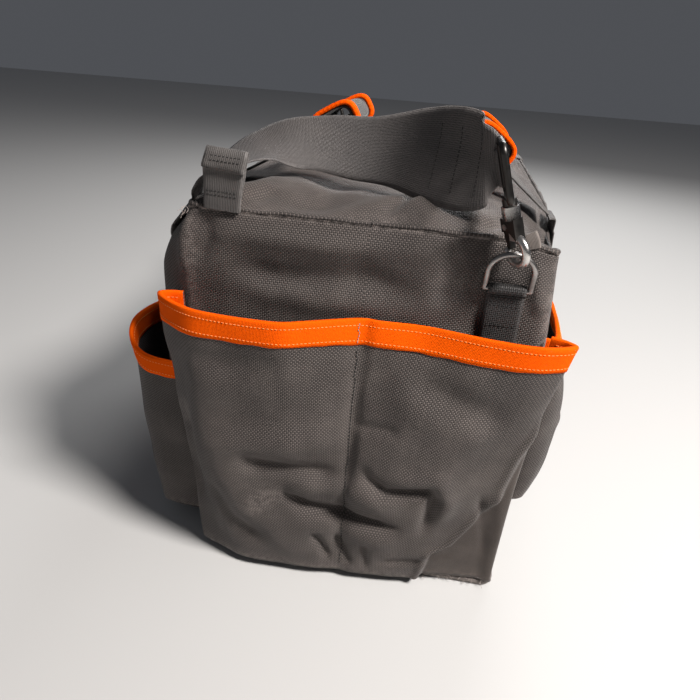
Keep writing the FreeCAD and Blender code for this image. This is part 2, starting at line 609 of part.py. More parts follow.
def hook_eye(end, heading, side):
    """The eye that carries the strap: a tall loop on a swivel pin with a peened head."""
    wire = "eye_wire / 2"
    parts = []
    for i, way in enumerate(("-1", "1")):
        parts.append(cylinder(f"{end}EyeLeg{i}", wire, "eye_high - eye_low - 2 * eye_corner",
                              ("0", f"{way} * eye_half", "eye_low + eye_corner")))
    for i, level in enumerate(("eye_low", "eye_high")):
        parts.append(cylinder(f"{end}EyeBar{i}", wire, "2 * (eye_half - eye_corner)",
                              ("0", "-(eye_half - eye_corner)", level), ALONG_Y))
    for i, (way, level, start) in enumerate((("1", "eye_high", 0), ("-1", "eye_high", 90),
                                              ("-1", "eye_low", 180), ("1", "eye_low", 270))):
        bend = doc.addObject("Part::Torus", f"{end}EyeBend{i}")
        bind(bend, Radius1="eye_corner", Radius2=wire, Angle3="90")
        facing = Rotation(Vector(0, 1, 0), 90).multiply(Rotation(Vector(0, 0, 1), 90))
        turn = Rotation(Vector(1, 0, 0), start).multiply(facing)
        level_in = f"{level} - eye_corner" if level == "eye_high" else f"{level} + eye_corner"
        place(bend, ("0", f"{way} * (eye_half - eye_corner)", level_in), turn)
        parts.append(bend)
    for name, radius, height, low in (
            ("Collar", "eye_wire", "eye_low - boss_high - 0.4", "boss_high + 0.4"),
            ("Pin", "swivel_radius", "eye_low - boss_low - 2", "boss_low + 2"),
            ("PinHead", "swivel_radius + 1.4", "3.8", "boss_low + 2")):
        parts.append(cylinder(f"{end}{name}", radius, height, ("0", "0", low)))
    eye = fuse(f"{end}Eye", parts)
    turn = hook_turned(side, eye_turn(heading))
    node(end_place(eye, heading, Vector(*hook_centre()), turn), f"{end}_hook_eye")


# ---------------------------------------------------------------------------------------------
# Shoulder strap and its adjuster
# ---------------------------------------------------------------------------------------------
def eye_leg(heading, side, along):
    """A point on the eye's leg that carries the strap, at a height along the hook's axis."""
    turn = hook_turned(side, eye_turn(heading))
    spot = Vector(*hook_centre()) + turn.multVec(Vector(0, cell("eye_half"), along))
    return Rotation(Vector(0, 0, 1), heading).multVec(spot) - Vector(0, 0, rear_drop(heading))


def strap():
    """A flat ribbon: it stands on its lower edge across the top, turns over the left edge, hangs in
    a shallow loop along the left side and climbs over the rear left corner to the rear hook."""
    side_x, side_z, half = cell("strap_side_x"), cell("strap_side_z"), cell("strap_half")
    gathered = (50, 82)
    step = Vector(-5.2, 0, 0)
    start = [eye_leg(0, -1, along) + step for along in gathered]
    finish = [eye_leg(180, 1, along) + step for along in gathered]
    edges = [
        tuple(start),
        (Vector(84, -258, 426), Vector(75, -250, 487)),
        (Vector(47, -238, 425), Vector(39, -216, 486)),
        (Vector(3, -216, 421), Vector(-4, -186, 479)),
        (Vector(-38, -204, 423), Vector(-47, -172, 473)),
        (Vector(-88, -204, 431), Vector(-96, -172, 459)),
        (Vector(-124, -230, 436), Vector(-131, -192, 446)),
        (Vector(-153, -263, 424), Vector(-157, -215, 430)),
        (Vector(-172, -266, 407), Vector(-173, -217, 409)),
        (Vector(-182, -248, 372), Vector(-184, -197, 385)),
        (Vector(-195, -198, 324), Vector(-195, -148, 364)),
        (Vector(side_x, -120, 294), Vector(side_x, -92, 352)),
        (Vector(side_x, -30, side_z - half), Vector(side_x, -30, side_z + half)),
        (Vector(side_x, 120, side_z - half), Vector(side_x, 120, side_z + half)),
        (Vector(-196, 186, 298), Vector(-196, 168, 356)),
        (Vector(-192, 236, 325), Vector(-191, 208, 375)),
        (Vector(-188, 264, 350), Vector(-187, 244, 400)),
        (Vector(-181, 284, 372), Vector(-184, 276, 416)),
        tuple(finish),
    ]
    thick = cell("strap_thick") / 2
    middles = [(low + high) * 0.5 for low, high in edges]
    sections = []
    for index, (low, high) in enumerate(edges):
        ahead = middles[min(index + 1, len(middles) - 1)]
        behind = middles[max(index - 1, 0)]
        across = (high - low).cross(ahead - behind).normalize() * thick
        corners = [low - across, high - across, high + across, low + across]
        sections.append(Part.makePolygon(corners + corners[:1]))
    shape = Part.makeLoft(sections, True, True)
    for heading, side in ((0, -1), (180, 1)):
        foot, head = (eye_leg(heading, side, along) for along in gathered)
        axis = head - foot
        sleeve = Part.makeCylinder(5.6, axis.Length, foot, axis)
        shape = shape.fuse(sleeve)
    for heading, side in ((0, -1), (180, 1)):
        foot, head = (eye_leg(heading, side, along) for along in gathered)
        axis = head - foot
        shape = shape.cut(Part.makeCylinder(cell("eye_wire") / 2 + 0.2, 3 * axis.Length, foot - axis, axis))
    obj = doc.addObject("Part::Feature", "Strap")
    obj.Shape = shape
    node(obj, "shoulder_strap")


def adjuster():
    """A slide buckle round the strap, with two windows that leave its centre bar."""
    x_mid, z_mid, y_mid = "strap_side_x", "strap_side_z", "adjuster_y"
    half_y = "adjuster_half_length"
    half_z = "strap_half + adjuster_rim"
    half_x = "adjuster_thick / 2"
    outer = box("AdjusterOuter", (f"{x_mid} - {half_x}", f"{x_mid} + {half_x}"),
                (f"{y_mid} - {half_y}", f"{y_mid} + {half_y}"),
                (f"{z_mid} - ({half_z})", f"{z_mid} + {half_z}"))
    through_x = "strap_thick / 2 + adjuster_play"
    through_z = "strap_half + adjuster_play"
    through = box("AdjusterThrough", (f"{x_mid} - ({through_x})", f"{x_mid} + {through_x}"),
                  (f"{y_mid} - 2 * {half_y}", f"{y_mid} + 2 * {half_y}"),
                  (f"{z_mid} - ({through_z})", f"{z_mid} + {through_z}"))
    solid = cut("AdjusterSleeve", outer, through)
    windows = (("-adjuster_half_length + 3.5", "-3"), ("3", "adjuster_half_length - 3.5"))
    for index, (near, far) in enumerate(windows):
        window = box(f"AdjusterWindow{index}", (f"{x_mid} - 2 * {half_x}", x_mid),
                     (f"{y_mid} + ({near})", f"{y_mid} + {far}"),
                     (f"{z_mid} - strap_half + 2", f"{z_mid} + strap_half - 2"))
        solid = cut(f"AdjusterCut{index}", solid, window)
    node(solid, "strap_adjuster")


# ---------------------------------------------------------------------------------------------
# Carry handles
# ---------------------------------------------------------------------------------------------
def handle(side, sign):
    """A webbing bow with a wrapped grip, drawn standing up from its hinge line along Y, then leant
    inwards over the top; and the two strips that sew it to the bag's side and lap over its top edge."""
    hinge = Vector(sign * cell("handle_hinge_x"), 0, cell("handle_hinge_z"))
    lean = Placement(hinge, Rotation(Vector(0, 1, 0), -sign * cell(f"{side}_lean")))

    foot, rise, half = cell("handle_foot_y"), cell(f"{side}_rise"), cell("anchor_half")
    outer = [(foot + half, 1.5), (foot + half, 25), (97, rise + half)]
    inner = [(83, rise - half), (foot - half, 11), (foot - half, 1.5)]
    right = outer[::-1]
    points = [(-y, z) for y, z in outer] + right + inner[::-1] + [(-y, z) for y, z in inner]
    bow = plate_body(f"{side}Bow", points, "webbing_thick", "YZ_Plane")
    bow.Placement = lean
    node(bow, f"{side}_handle_webbing")

    def rounded(name, grow, low_y, high_y):
        block = box(name, (f"-grip_thick / 2 - {grow}", f"grip_thick / 2 + {grow}"), (low_y, high_y),
                    (f"{side}_rise - grip_width / 2 - {grow}", f"{side}_rise + grip_width / 2 + {grow}"))
        doc.recompute()
        soft = doc.addObject("Part::Fillet", f"{name}Soft")
        soft.Base = block
        radius = cell("grip_thick") / 2 - 1.5
        edges = [i + 1 for i, e in enumerate(block.Shape.Edges)
                 if abs(e.Vertexes[0].Y - e.Vertexes[-1].Y) > 0.5 * block.Width.Value]
        soft.Edges = [(i, radius, radius) for i in edges]
        return soft

    core = rounded(f"{side}GripCore", 0, "-grip_half", "grip_half")
    passage = box(f"{side}GripPassage", ("-webbing_thick / 2 - 0.2", "webbing_thick / 2 + 0.2"),
                  ("-grip_half - 1", "grip_half + 1"),
                  (f"{side}_rise - anchor_half - 0.2", f"{side}_rise + anchor_half + 0.2"))
    grip = cut(f"{side}Grip", core, passage)
    grip.Placement = lean
    node(grip, f"{side}_handle_grip")

    bands = []
    spans = (("-grip_half - 1", "-grip_half + grip_band"), ("grip_half - grip_band", "grip_half + 1"))
    for index, (low_y, high_y) in enumerate(spans):
        band = rounded(f"{side}Band{index}", "binding_thick", low_y, high_y)
        bands.append(band)
    filled = rounded(f"{side}GripFill", 0, "-grip_half - 3", "grip_half + 3")
    hems = cut(f"{side}GripHems", group(f"{side}Bands", bands), filled)
    hems.Placement = lean
    node(hems, f"{side}_handle_binding")

    strips = []
    skin = f"{HALF_X} + webbing_thick"
    span_x = (HALF_X, skin) if sign > 0 else (f"-({skin})", f"-({HALF_X})")
    for index, y in enumerate(("-handle_foot_y", "handle_foot_y")):
        span_y = (f"{y} - anchor_half", f"{y} + anchor_half")
        upright = box(f"{side}Strip{index}", span_x, span_y, ("anchor_foot", "anchor_top"))
        over = ("handle_hinge_x + 1", skin) if sign > 0 else (f"-({skin})", "-handle_hinge_x - 1")
        flap = box(f"{side}Flap{index}", over, span_y, ("anchor_top", "anchor_top + webbing_thick"))
        strips.append(fuse(f"{side}Anchor{index}", [upright, flap]))
    node(group(f"{side}Anchors", strips), f"{side}_handle_anchors")


def main():
    shell()
    rounded_plate("BaseBoard", "base_board", "bag_width / 2 - cloth - foam - 1",
                  "bag_length / 2 - cloth - foam - 1", "board_thick", "cloth", 20)
    roof()
    pockets()
    zip_rows()
    for end, centre, sign in (("front", "front_slider_y", -1), ("rear", "rear_slider_y", 1)):
        hinge_y, hinge_z, tail = slider(end, centre, sign)
        if end == "front":
            cord_loop(end, tail, hinge_z, 8)
    for end, heading, side in (("front", 0, -1), ("rear", 180, 1)):
        d_ring(end, heading)
        ring_tab(end, heading)
        hook_eye(end, heading, side)
        hook(end, heading, side)
    grab_tab("front", 0)
    strap()
    adjuster()
    handle("left", -1)
    handle("right", 1)
    tape_end = box("TapeEnd", TAPE_END[0], (f"-{HALF_Y} - webbing_thick", f"-{HALF_Y}"), TAPE_END[1])
    node(tape_end, "seam_tape_end")
    doc.recompute()


main()

os.makedirs("parts", exist_ok=True)
faults = [obj.Label for obj in doc.Objects if {"Invalid", "Error"} & set(obj.State)]
for label, obj in NODES.items():
    if obj.Shape.isNull() or not obj.Shape.isValid() or not obj.Shape.Solids:
        faults.append(label)
if faults:
    raise RuntimeError(f"these did not build: {faults}")
for label, obj in NODES.items():
    obj.Shape.exportStep(f"parts/{label}.step")
print(len(NODES), "sub-parts written")
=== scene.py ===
import math

import bpy
import numpy as np
from mathutils import Matrix, Vector


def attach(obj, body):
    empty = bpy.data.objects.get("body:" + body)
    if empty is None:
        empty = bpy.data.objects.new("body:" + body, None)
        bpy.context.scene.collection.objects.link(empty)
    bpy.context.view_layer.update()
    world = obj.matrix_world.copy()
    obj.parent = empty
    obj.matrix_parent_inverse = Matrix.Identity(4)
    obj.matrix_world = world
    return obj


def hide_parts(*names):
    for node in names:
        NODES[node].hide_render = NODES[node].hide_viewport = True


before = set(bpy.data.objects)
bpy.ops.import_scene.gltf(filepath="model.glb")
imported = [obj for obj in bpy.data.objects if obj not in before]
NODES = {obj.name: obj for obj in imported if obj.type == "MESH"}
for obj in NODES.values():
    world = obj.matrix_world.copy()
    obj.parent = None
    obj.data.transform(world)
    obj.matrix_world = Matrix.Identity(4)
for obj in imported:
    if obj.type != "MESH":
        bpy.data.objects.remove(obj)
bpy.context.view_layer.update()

# The object's frame is in metres here. Shapes below are written in millimetres and scaled once, in Mesh.finish.
HALF_X, HALF_Y, HEIGHT = 170.0, 280.0, 400.0
CLOTH = 2.0  # thickness of the bag's cloth
BAND = 24.0  # width of the binding on a pocket's mouth
CORNER = 12.0  # radius of the bag's upright corners
POCKET_BACK = 281.0  # where the end pockets meet their panels
REAR_DROP = 42.0  # how far the rear ring and hook sit below the front ones
SLOT_HALF, SLOT_FRONT, SLOT_BACK = 11.0, -110.0, 205.0
ZIP_Z, COIL_PITCH = 411.55, 2.1
HINGE_X, HINGE_Z, ANCHOR_Y = 160.0, 408.0, 190.0
WEB_HALF = 18.5  # half the width of the handles' webbing
GRIP_HALF, GRIP_DEEP, GRIP_SIDES = 22.0, 12.4, 48
RING_X, RING_BAR_Y, RING_BAR_Z = 125.0, -285.3, 357.0
UP = np.array([0.0, 0.0, 1.0])


# ---- Camera, light and floor ----
def camera():
    data = bpy.data.cameras.new("Camera")
    data.sensor_width = 36.0
    data.lens = 30.857
    data.clip_start = 0.02
    data.clip_end = 50.0
    cam = bpy.data.objects.new("Camera", data)
    bpy.context.scene.collection.objects.link(cam)
    # The columns are the camera's right, up and back, and its place in metres.
    cam.matrix_world = Matrix([
        (0.98484, -0.13016, 0.11470, 0.05684),
        (0.16080, 0.43667, -0.88514, -0.79450),
        (0.06527, 0.89056, 0.45016, 0.53731),
        (0, 0, 0, 1)])
    bpy.context.scene.camera = cam


def area_light(name, spot, target, size, power, tint=(1, 1, 1)):
    data = bpy.data.lights.new(name, "AREA")
    data.shape = "DISK"
    data.size = size
    data.energy = power
    data.color = tint
    lamp = bpy.data.objects.new(name, data)
    bpy.context.scene.collection.objects.link(lamp)
    place = Matrix.Translation(spot)
    aim = (Vector(target) - Vector(spot)).to_track_quat("-Z", "Y").to_matrix().to_4x4()
    lamp.matrix_world = place @ aim


def studio():
    bpy.context.scene.view_settings.view_transform = "Standard"
    world = bpy.data.worlds.new("Studio")
    world.use_nodes = True
    sky = world.node_tree.nodes["Background"]
    sky.inputs["Color"].default_value = (0.86, 0.90, 1.0, 1.0)
    sky.inputs["Strength"].default_value = 0.09
    bpy.context.scene.world = world
    area_light("Key", (1.25, -0.95, 1.85), (0.0, -0.2, 0.2), 0.5, 92, (1.0, 0.96, 0.93))
    area_light("Fill", (-1.8, -1.5, 1.0), (0.0, 0.0, 0.2), 1.8, 0.9, (0.86, 0.92, 1.0))
    area_light("Rim", (0.5, 1.9, 1.7), (0.0, 0.1, 0.3), 1.2, 30)
    bpy.ops.mesh.primitive_plane_add(size=14.0, location=(0, 0, -0.0004))
    floor = bpy.context.object
    floor.name = "floor"
    mat = bpy.data.materials.new("floor_paper")
    mat.use_nodes = True
    skin = mat.node_tree.nodes["Principled BSDF"]
    skin.inputs["Base Color"].default_value = (0.55, 0.545, 0.535, 1)
    skin.inputs["Roughness"].default_value = 0.85
    floor.data.materials.append(mat)


# ---- Materials ----
class Graph:
    """Short calls for a material's nodes. A number in place of a socket is set as a constant."""

    def __init__(self, name):
        self.mat = bpy.data.materials.new(name)
        self.mat.use_nodes = True
        self.tree = self.mat.node_tree
        self.skin = self.tree.nodes["Principled BSDF"]

    def node(self, kind, **settings):
        made = self.tree.nodes.new(kind)
        for key, value in settings.items():
            setattr(made, key, value)
        return made

    def feed(self, socket, value):
        if isinstance(value, bpy.types.NodeSocket):
            self.tree.links.new(value, socket)
        elif isinstance(value, (tuple, list)) and len(value) == 3 and socket.type == "RGBA":
            socket.default_value = (*value, 1.0)
        else:
            socket.default_value = value

    def math(self, operation, *values, clamp=False):
        made = self.node("ShaderNodeMath", operation=operation, use_clamp=clamp)
        for socket, value in zip(made.inputs, values):
            self.feed(socket, value)
        return made.outputs[0]

    def times(self, first, second):
        return self.math("MULTIPLY", first, second)

    def plus(self, first, second):
        return self.math("ADD", first, second)

    def minus(self, first, second):
        return self.math("SUBTRACT", first, second)

    def mix(self, share, low, high):
        made = self.node("ShaderNodeMix", data_type="RGBA")
        self.feed(made.inputs[0], share)
        self.feed(made.inputs[6], low)
        self.feed(made.inputs[7], high)
        return made.outputs[2]

    def noise(self, where, scale, detail=3.0, rough=0.55):
        made = self.node("ShaderNodeTexNoise")
        self.feed(made.inputs["Vector"], where)
        made.inputs["Scale"].default_value = scale
        made.inputs["Detail"].default_value = detail
        made.inputs["Roughness"].default_value = rough
        return made.outputs["Fac"]

    def ramp(self, value, low, high):
        made = self.node("ShaderNodeMapRange", clamp=True)
        self.feed(made.inputs[0], value)
        made.inputs[1].default_value = low
        made.inputs[2].default_value = high
        return made.outputs[0]

    def random(self, value):
        made = self.node("ShaderNodeTexWhiteNoise", noise_dimensions="1D")
        self.feed(made.inputs["W"], value)
        return made.outputs["Value"]

    def bump(self, height, distance, strength=1.0, under=None):
        made = self.node("ShaderNodeBump")
        made.inputs["Distance"].default_value = distance
        made.inputs["Strength"].default_value = strength
        self.feed(made.inputs["Height"], height)
        if under is not None:
            self.feed(made.inputs["Normal"], under)
        return made.outputs[0]

    def where(self, output):
        return self.node("ShaderNodeTexCoord").outputs[output]

    def finish(self, colour, roughness, normal, metallic=0.0, sheen=0.0):
        self.feed(self.skin.inputs["Base Color"], colour)
        self.feed(self.skin.inputs["Roughness"], roughness)
        self.feed(self.skin.inputs["Normal"], normal)
        self.skin.inputs["Metallic"].default_value = metallic
        self.skin.inputs["Sheen Weight"].default_value = sheen
        self.skin.inputs["Sheen Roughness"].default_value = 0.4
        return self.mat


def weave(name, dark, light, pitch, relief, kind="plain", rough=0.8, sheen=0.15, blotch=0.3, dust=0.0,
          ratio=1.0, gloss=0.35):
    """Woven cloth. Its map, the pitch of its threads and their relief are in metres. kind is plain, twill, or
    rib for ribs along the cloth. The mesh's wear attribute lightens it."""
    g = Graph(name)
    split = g.node("ShaderNodeSeparateXYZ")
    g.feed(split.inputs[0], g.where("UV"))
    across = g.times(split.outputs[0], 1.0 / (pitch * ratio))
    along = g.times(split.outputs[1], 1.0 / pitch)
    column, row = g.math("FLOOR", across), g.math("FLOOR", along)
    fx = g.minus(g.math("FRACT", across), 0.5)
    fy = g.minus(g.math("FRACT", along), 0.5)

    def crown(part, depth):
        return g.minus(1.0, g.times(g.times(part, part), depth))

    warp_up = g.times(crown(fx, 3.6), crown(fy, 1.6))
    weft_up = g.times(crown(fy, 3.6), crown(fx, 1.6))
    if kind == "plain":
        over = g.math("PINGPONG", g.plus(column, row), 1.0)
    elif kind == "twill":
        over = g.math("LESS_THAN", g.math("FLOORED_MODULO", g.plus(column, row), 4.0), 1.5)
    else:
        over = 0.0
    if kind == "rib":
        height = g.times(crown(fy, 3.2), g.plus(0.8, g.times(crown(fx, 4.0), 0.2)))
    else:
        height = g.plus(g.times(warp_up, over), g.times(weft_up, g.minus(1.0, over)))
    spot = g.where("Object")
    threads = g.plus(g.random(column), g.random(g.plus(row, 37.3)))
    threads = g.times(threads, 0.5)
    cloud = g.noise(spot, 9.0, 4.0)
    fine = g.noise(spot, 420.0, 2.0)
    # The colour follows each thread's height, lighter on its crown and darker towards its edges. That is
    # painted light and painted shade on the threads, with real tone that differs by thread and in blotches.
    share = g.plus(g.times(height, 0.80), g.times(threads, 0.10))
    share = g.math("ADD", share, g.times(g.minus(cloud, 0.5), blotch), clamp=True)
    colour = g.mix(share, dark, light)
    if kind == "plain":
        colour = g.mix(g.times(over, 0.62), colour, tuple(0.9 * c for c in dark))
    worn = g.node("ShaderNodeAttribute", attribute_name="wear").outputs["Fac"]
    worn = g.times(worn, g.ramp(g.noise(spot, 160.0, 4.0), 0.35, 0.65))
    colour = g.mix(worn, colour, tuple(min(1.0, 2.2 * c + 0.035) for c in light))
    if dust:
        specks = g.ramp(g.noise(spot, 700.0, 1.0), 0.70, 0.80)
        haze = g.ramp(g.noise(spot, 22.0, 5.0), 0.45, 0.75)
        dusty = g.plus(g.times(specks, 0.35), g.times(haze, 0.25))
        colour = g.mix(g.times(dusty, dust), colour, (0.42, 0.36, 0.32))
    body = g.bump(height, relief)
    normal = g.bump(fine, relief * 0.4, 0.5, body)
    roughness = g.plus(rough - 0.08, g.times(cloud, 0.16))
    g.skin.inputs["Specular IOR Level"].default_value = gloss
    return g.finish(colour, roughness, normal, sheen=sheen)


def metal(name, colour, rough, scratch=0.25):
    g = Graph(name)
    tarnish = (0.05, 0.045, 0.04)
    spot = g.where("Object")
    cloud = g.noise(spot, 60.0, 5.0)
    fine = g.noise(spot, 900.0, 2.0)
    rubbed = g.ramp(cloud, 0.38, 0.66)
    shade = g.mix(g.times(rubbed, scratch), colour, tarnish)
    roughness = g.plus(rough, g.times(rubbed, 0.22))
    return g.finish(shade, roughness, g.bump(fine, 0.00012, 0.5), metallic=1.0)


def plastic(name, colour, rough, grain=0.00008):
    g = Graph(name)
    spot = g.where("Object")
    lighter = tuple(1.5 * c + 0.01 for c in colour)
    shade = g.mix(g.ramp(g.noise(spot, 80.0, 5.0), 0.4, 0.7), colour, lighter)
    return g.finish(shade, rough, g.bump(g.noise(spot, 1400.0, 2.0), grain, 0.7))


# Each cloth: dark and light thread colours, mixed by thread height into painted shade in the gaps between
# threads and painted light on their crowns, thread pitch and relief in metres, then what differs from plain.
CLOTHS = {
    "bag_cloth": ((0.007, 0.0056, 0.0052), (0.150, 0.124, 0.112), 0.0018, 0.0006,
                  dict(rough=0.62, sheen=0.10, blotch=0.35, dust=0.35)),
    "gusset_cloth": ((0.022, 0.016, 0.013), (0.075, 0.055, 0.045), 0.0008, 0.00014,
                     dict(rough=0.6, blotch=0.25, dust=0.3)),
    "lining_cloth": ((0.012, 0.012, 0.013), (0.06, 0.06, 0.064), 0.0006, 0.0001, {}),
    "orange_binding": ((0.80, 0.066, 0.0), (1.0, 0.135, 0.002), 0.0013, 0.00025,
                       dict(kind="twill", rough=0.95, sheen=0.0, blotch=0.2, gloss=0.05)),
    "edge_tape": ((0.04, 0.033, 0.03), (0.19, 0.165, 0.15), 0.0011, 0.0003,
                  dict(kind="rib", rough=0.85, dust=0.6)),
    "tape_cloth": ((0.008, 0.008, 0.009), (0.045, 0.045, 0.048), 0.0007, 0.00015, dict(kind="twill")),
    "strap_webbing": ((0.012, 0.011, 0.011), (0.130, 0.118, 0.114), 0.0013, 0.0003,
                      dict(kind="twill", rough=0.52, sheen=0.08, dust=0.2)),
    "dark_webbing": ((0.012, 0.011, 0.011), (0.10, 0.092, 0.088), 0.0016, 0.00035,
                     dict(kind="rib", rough=0.6, sheen=0.1, dust=0.3, ratio=0.6)),
    "shaded_webbing": ((0.006, 0.0056, 0.0056), (0.05, 0.046, 0.045), 0.0018, 0.0005,
                       dict(rough=0.6, dust=0.3)),
    "grip_cloth": ((0.03, 0.03, 0.03), (0.17, 0.165, 0.16), 0.0010, 0.0002,
                   dict(rough=0.75, sheen=0.3, dust=0.3)),
    "thread": ((0.16, 0.13, 0.115), (0.42, 0.36, 0.33), 0.0004, 0.0001, dict(kind="rib", sheen=0.3)),
    "orange_thread": ((0.95, 0.22, 0.03), (1.0, 0.42, 0.12), 0.0004, 0.0001, dict(kind="rib")),
    "dark_thread": ((0.004, 0.004, 0.004), (0.02, 0.019, 0.018), 0.0004, 0.0001, dict(kind="rib")),
}
# Each plastic: colour, roughness, grain in metres. Each metal: colour, roughness, how much of it is tarnished.
PLASTICS = {
    "foam": ((0.035, 0.035, 0.038), 0.95, 0.0003),
    "board": ((0.014, 0.014, 0.016), 0.5),
    "black_plastic": ((0.012, 0.012, 0.013), 0.42),
    "coil_plastic": ((0.012, 0.012, 0.013), 0.35),
}
METALS = {
    "gunmetal": ((0.34, 0.32, 0.31), 0.26, 0.55),
    "silver_metal": ((0.62, 0.60, 0.58), 0.20, 0.35),
    "black_metal": ((0.055, 0.052, 0.05), 0.30, 0.3),
    "spring_steel": ((0.5, 0.5, 0.5), 0.3),
}


def materials():
    made = {name: weave(name, *look[:-1], **look[-1]) for name, look in CLOTHS.items()}
    made.update({name: plastic(name, *look) for name, look in PLASTICS.items()})
    made.update({name: metal(name, *look) for name, look in METALS.items()})
    return made


# ---- Shapes ----
def step(value, low, high):
    t = np.clip((value - low) / (high - low), 0.0, 1.0)
    return t * t * (3.0 - 2.0 * t)


def hump(value, centre, width):
    return np.exp(-((value - centre) / width) ** 2)


def run_length(line):
    """The length gone at each point of a line."""
    return np.concatenate([[0], np.cumsum(np.linalg.norm(np.diff(line, axis=0), axis=1))])


def sample(at, gone, line):
    """The line's points, or other values along it, where the length gone is at."""
    return np.stack([np.interp(at, gone, column) for column in line.T], axis=1)


def smooth_line(points, count):
    """A Catmull-Rom line through points, sampled at count even steps of its length."""
    p = np.asarray(points, float)
    padded = np.vstack([2 * p[0] - p[1], p, 2 * p[-1] - p[-2]])
    t = np.linspace(0, 1, 24, endpoint=False)[:, None]
    rough = []
    for a, b, c, d in zip(padded, padded[1:], padded[2:], padded[3:]):
        bend, twist = 2 * a - 5 * b + 4 * c - d, 3 * b - a - 3 * c + d
        rough.append(0.5 * (2 * b + (c - a) * t + bend * t ** 2 + twist * t ** 3))
    line = np.vstack(rough + [padded[-2][None]])
    gone = run_length(line)
    return sample(np.linspace(0, gone[-1], count), gone, line)


def unit(v):
    return v / np.maximum(np.linalg.norm(v, axis=-1, keepdims=True), 1e-9)


def ripple(points, size, seed, waves=14):
    """A smooth field in -1..1 whose lumps are about size millimetres across."""
    rng = np.random.RandomState(seed)
    total = np.zeros(points.shape[:-1])
    for _ in range(waves):
        way = rng.normal(size=3)
        way *= 2 * math.pi / (size * 2 * rng.uniform(0.75, 1.4)) / np.linalg.norm(way)
        total += np.cos(points @ way + rng.uniform(0, 2 * math.pi))
    return total / math.sqrt(waves)


def fold(flat, line, width, lift, taper=0.25):
    """A ridge, or a valley where lift is negative, along a line on a cloth's flat coordinates."""
    line = np.asarray(line, float)
    gone = run_length(line)
    nearest = np.full(flat.shape[:-1], 1e9)
    along = np.zeros(flat.shape[:-1])
    for i, run in enumerate(np.linalg.norm(np.diff(line, axis=0), axis=1)):
        way = (line[i + 1] - line[i]) / run
        t = np.clip((flat - line[i]) @ way, 0, run)
        away = np.linalg.norm(flat - (line[i] + t[..., None] * way), axis=-1)
        closer = away < nearest
        nearest = np.where(closer, away, nearest)
        along = np.where(closer, (gone[i] + t) / gone[-1], along)
    fade = np.minimum(step(along, -0.02, taper), 1 - step(along, 1 - taper, 1.02))
    return lift * fade * hump(nearest, 0, width)


def surface_normals(p, wrap=False):
    across = np.gradient(p, axis=1)
    if wrap:
        across[:, 0] = (p[:, 1] - p[:, -1]) / 2
        across[:, -1] = (p[:, 0] - p[:, -2]) / 2
    return unit(np.cross(across, np.gradient(p, axis=0)))


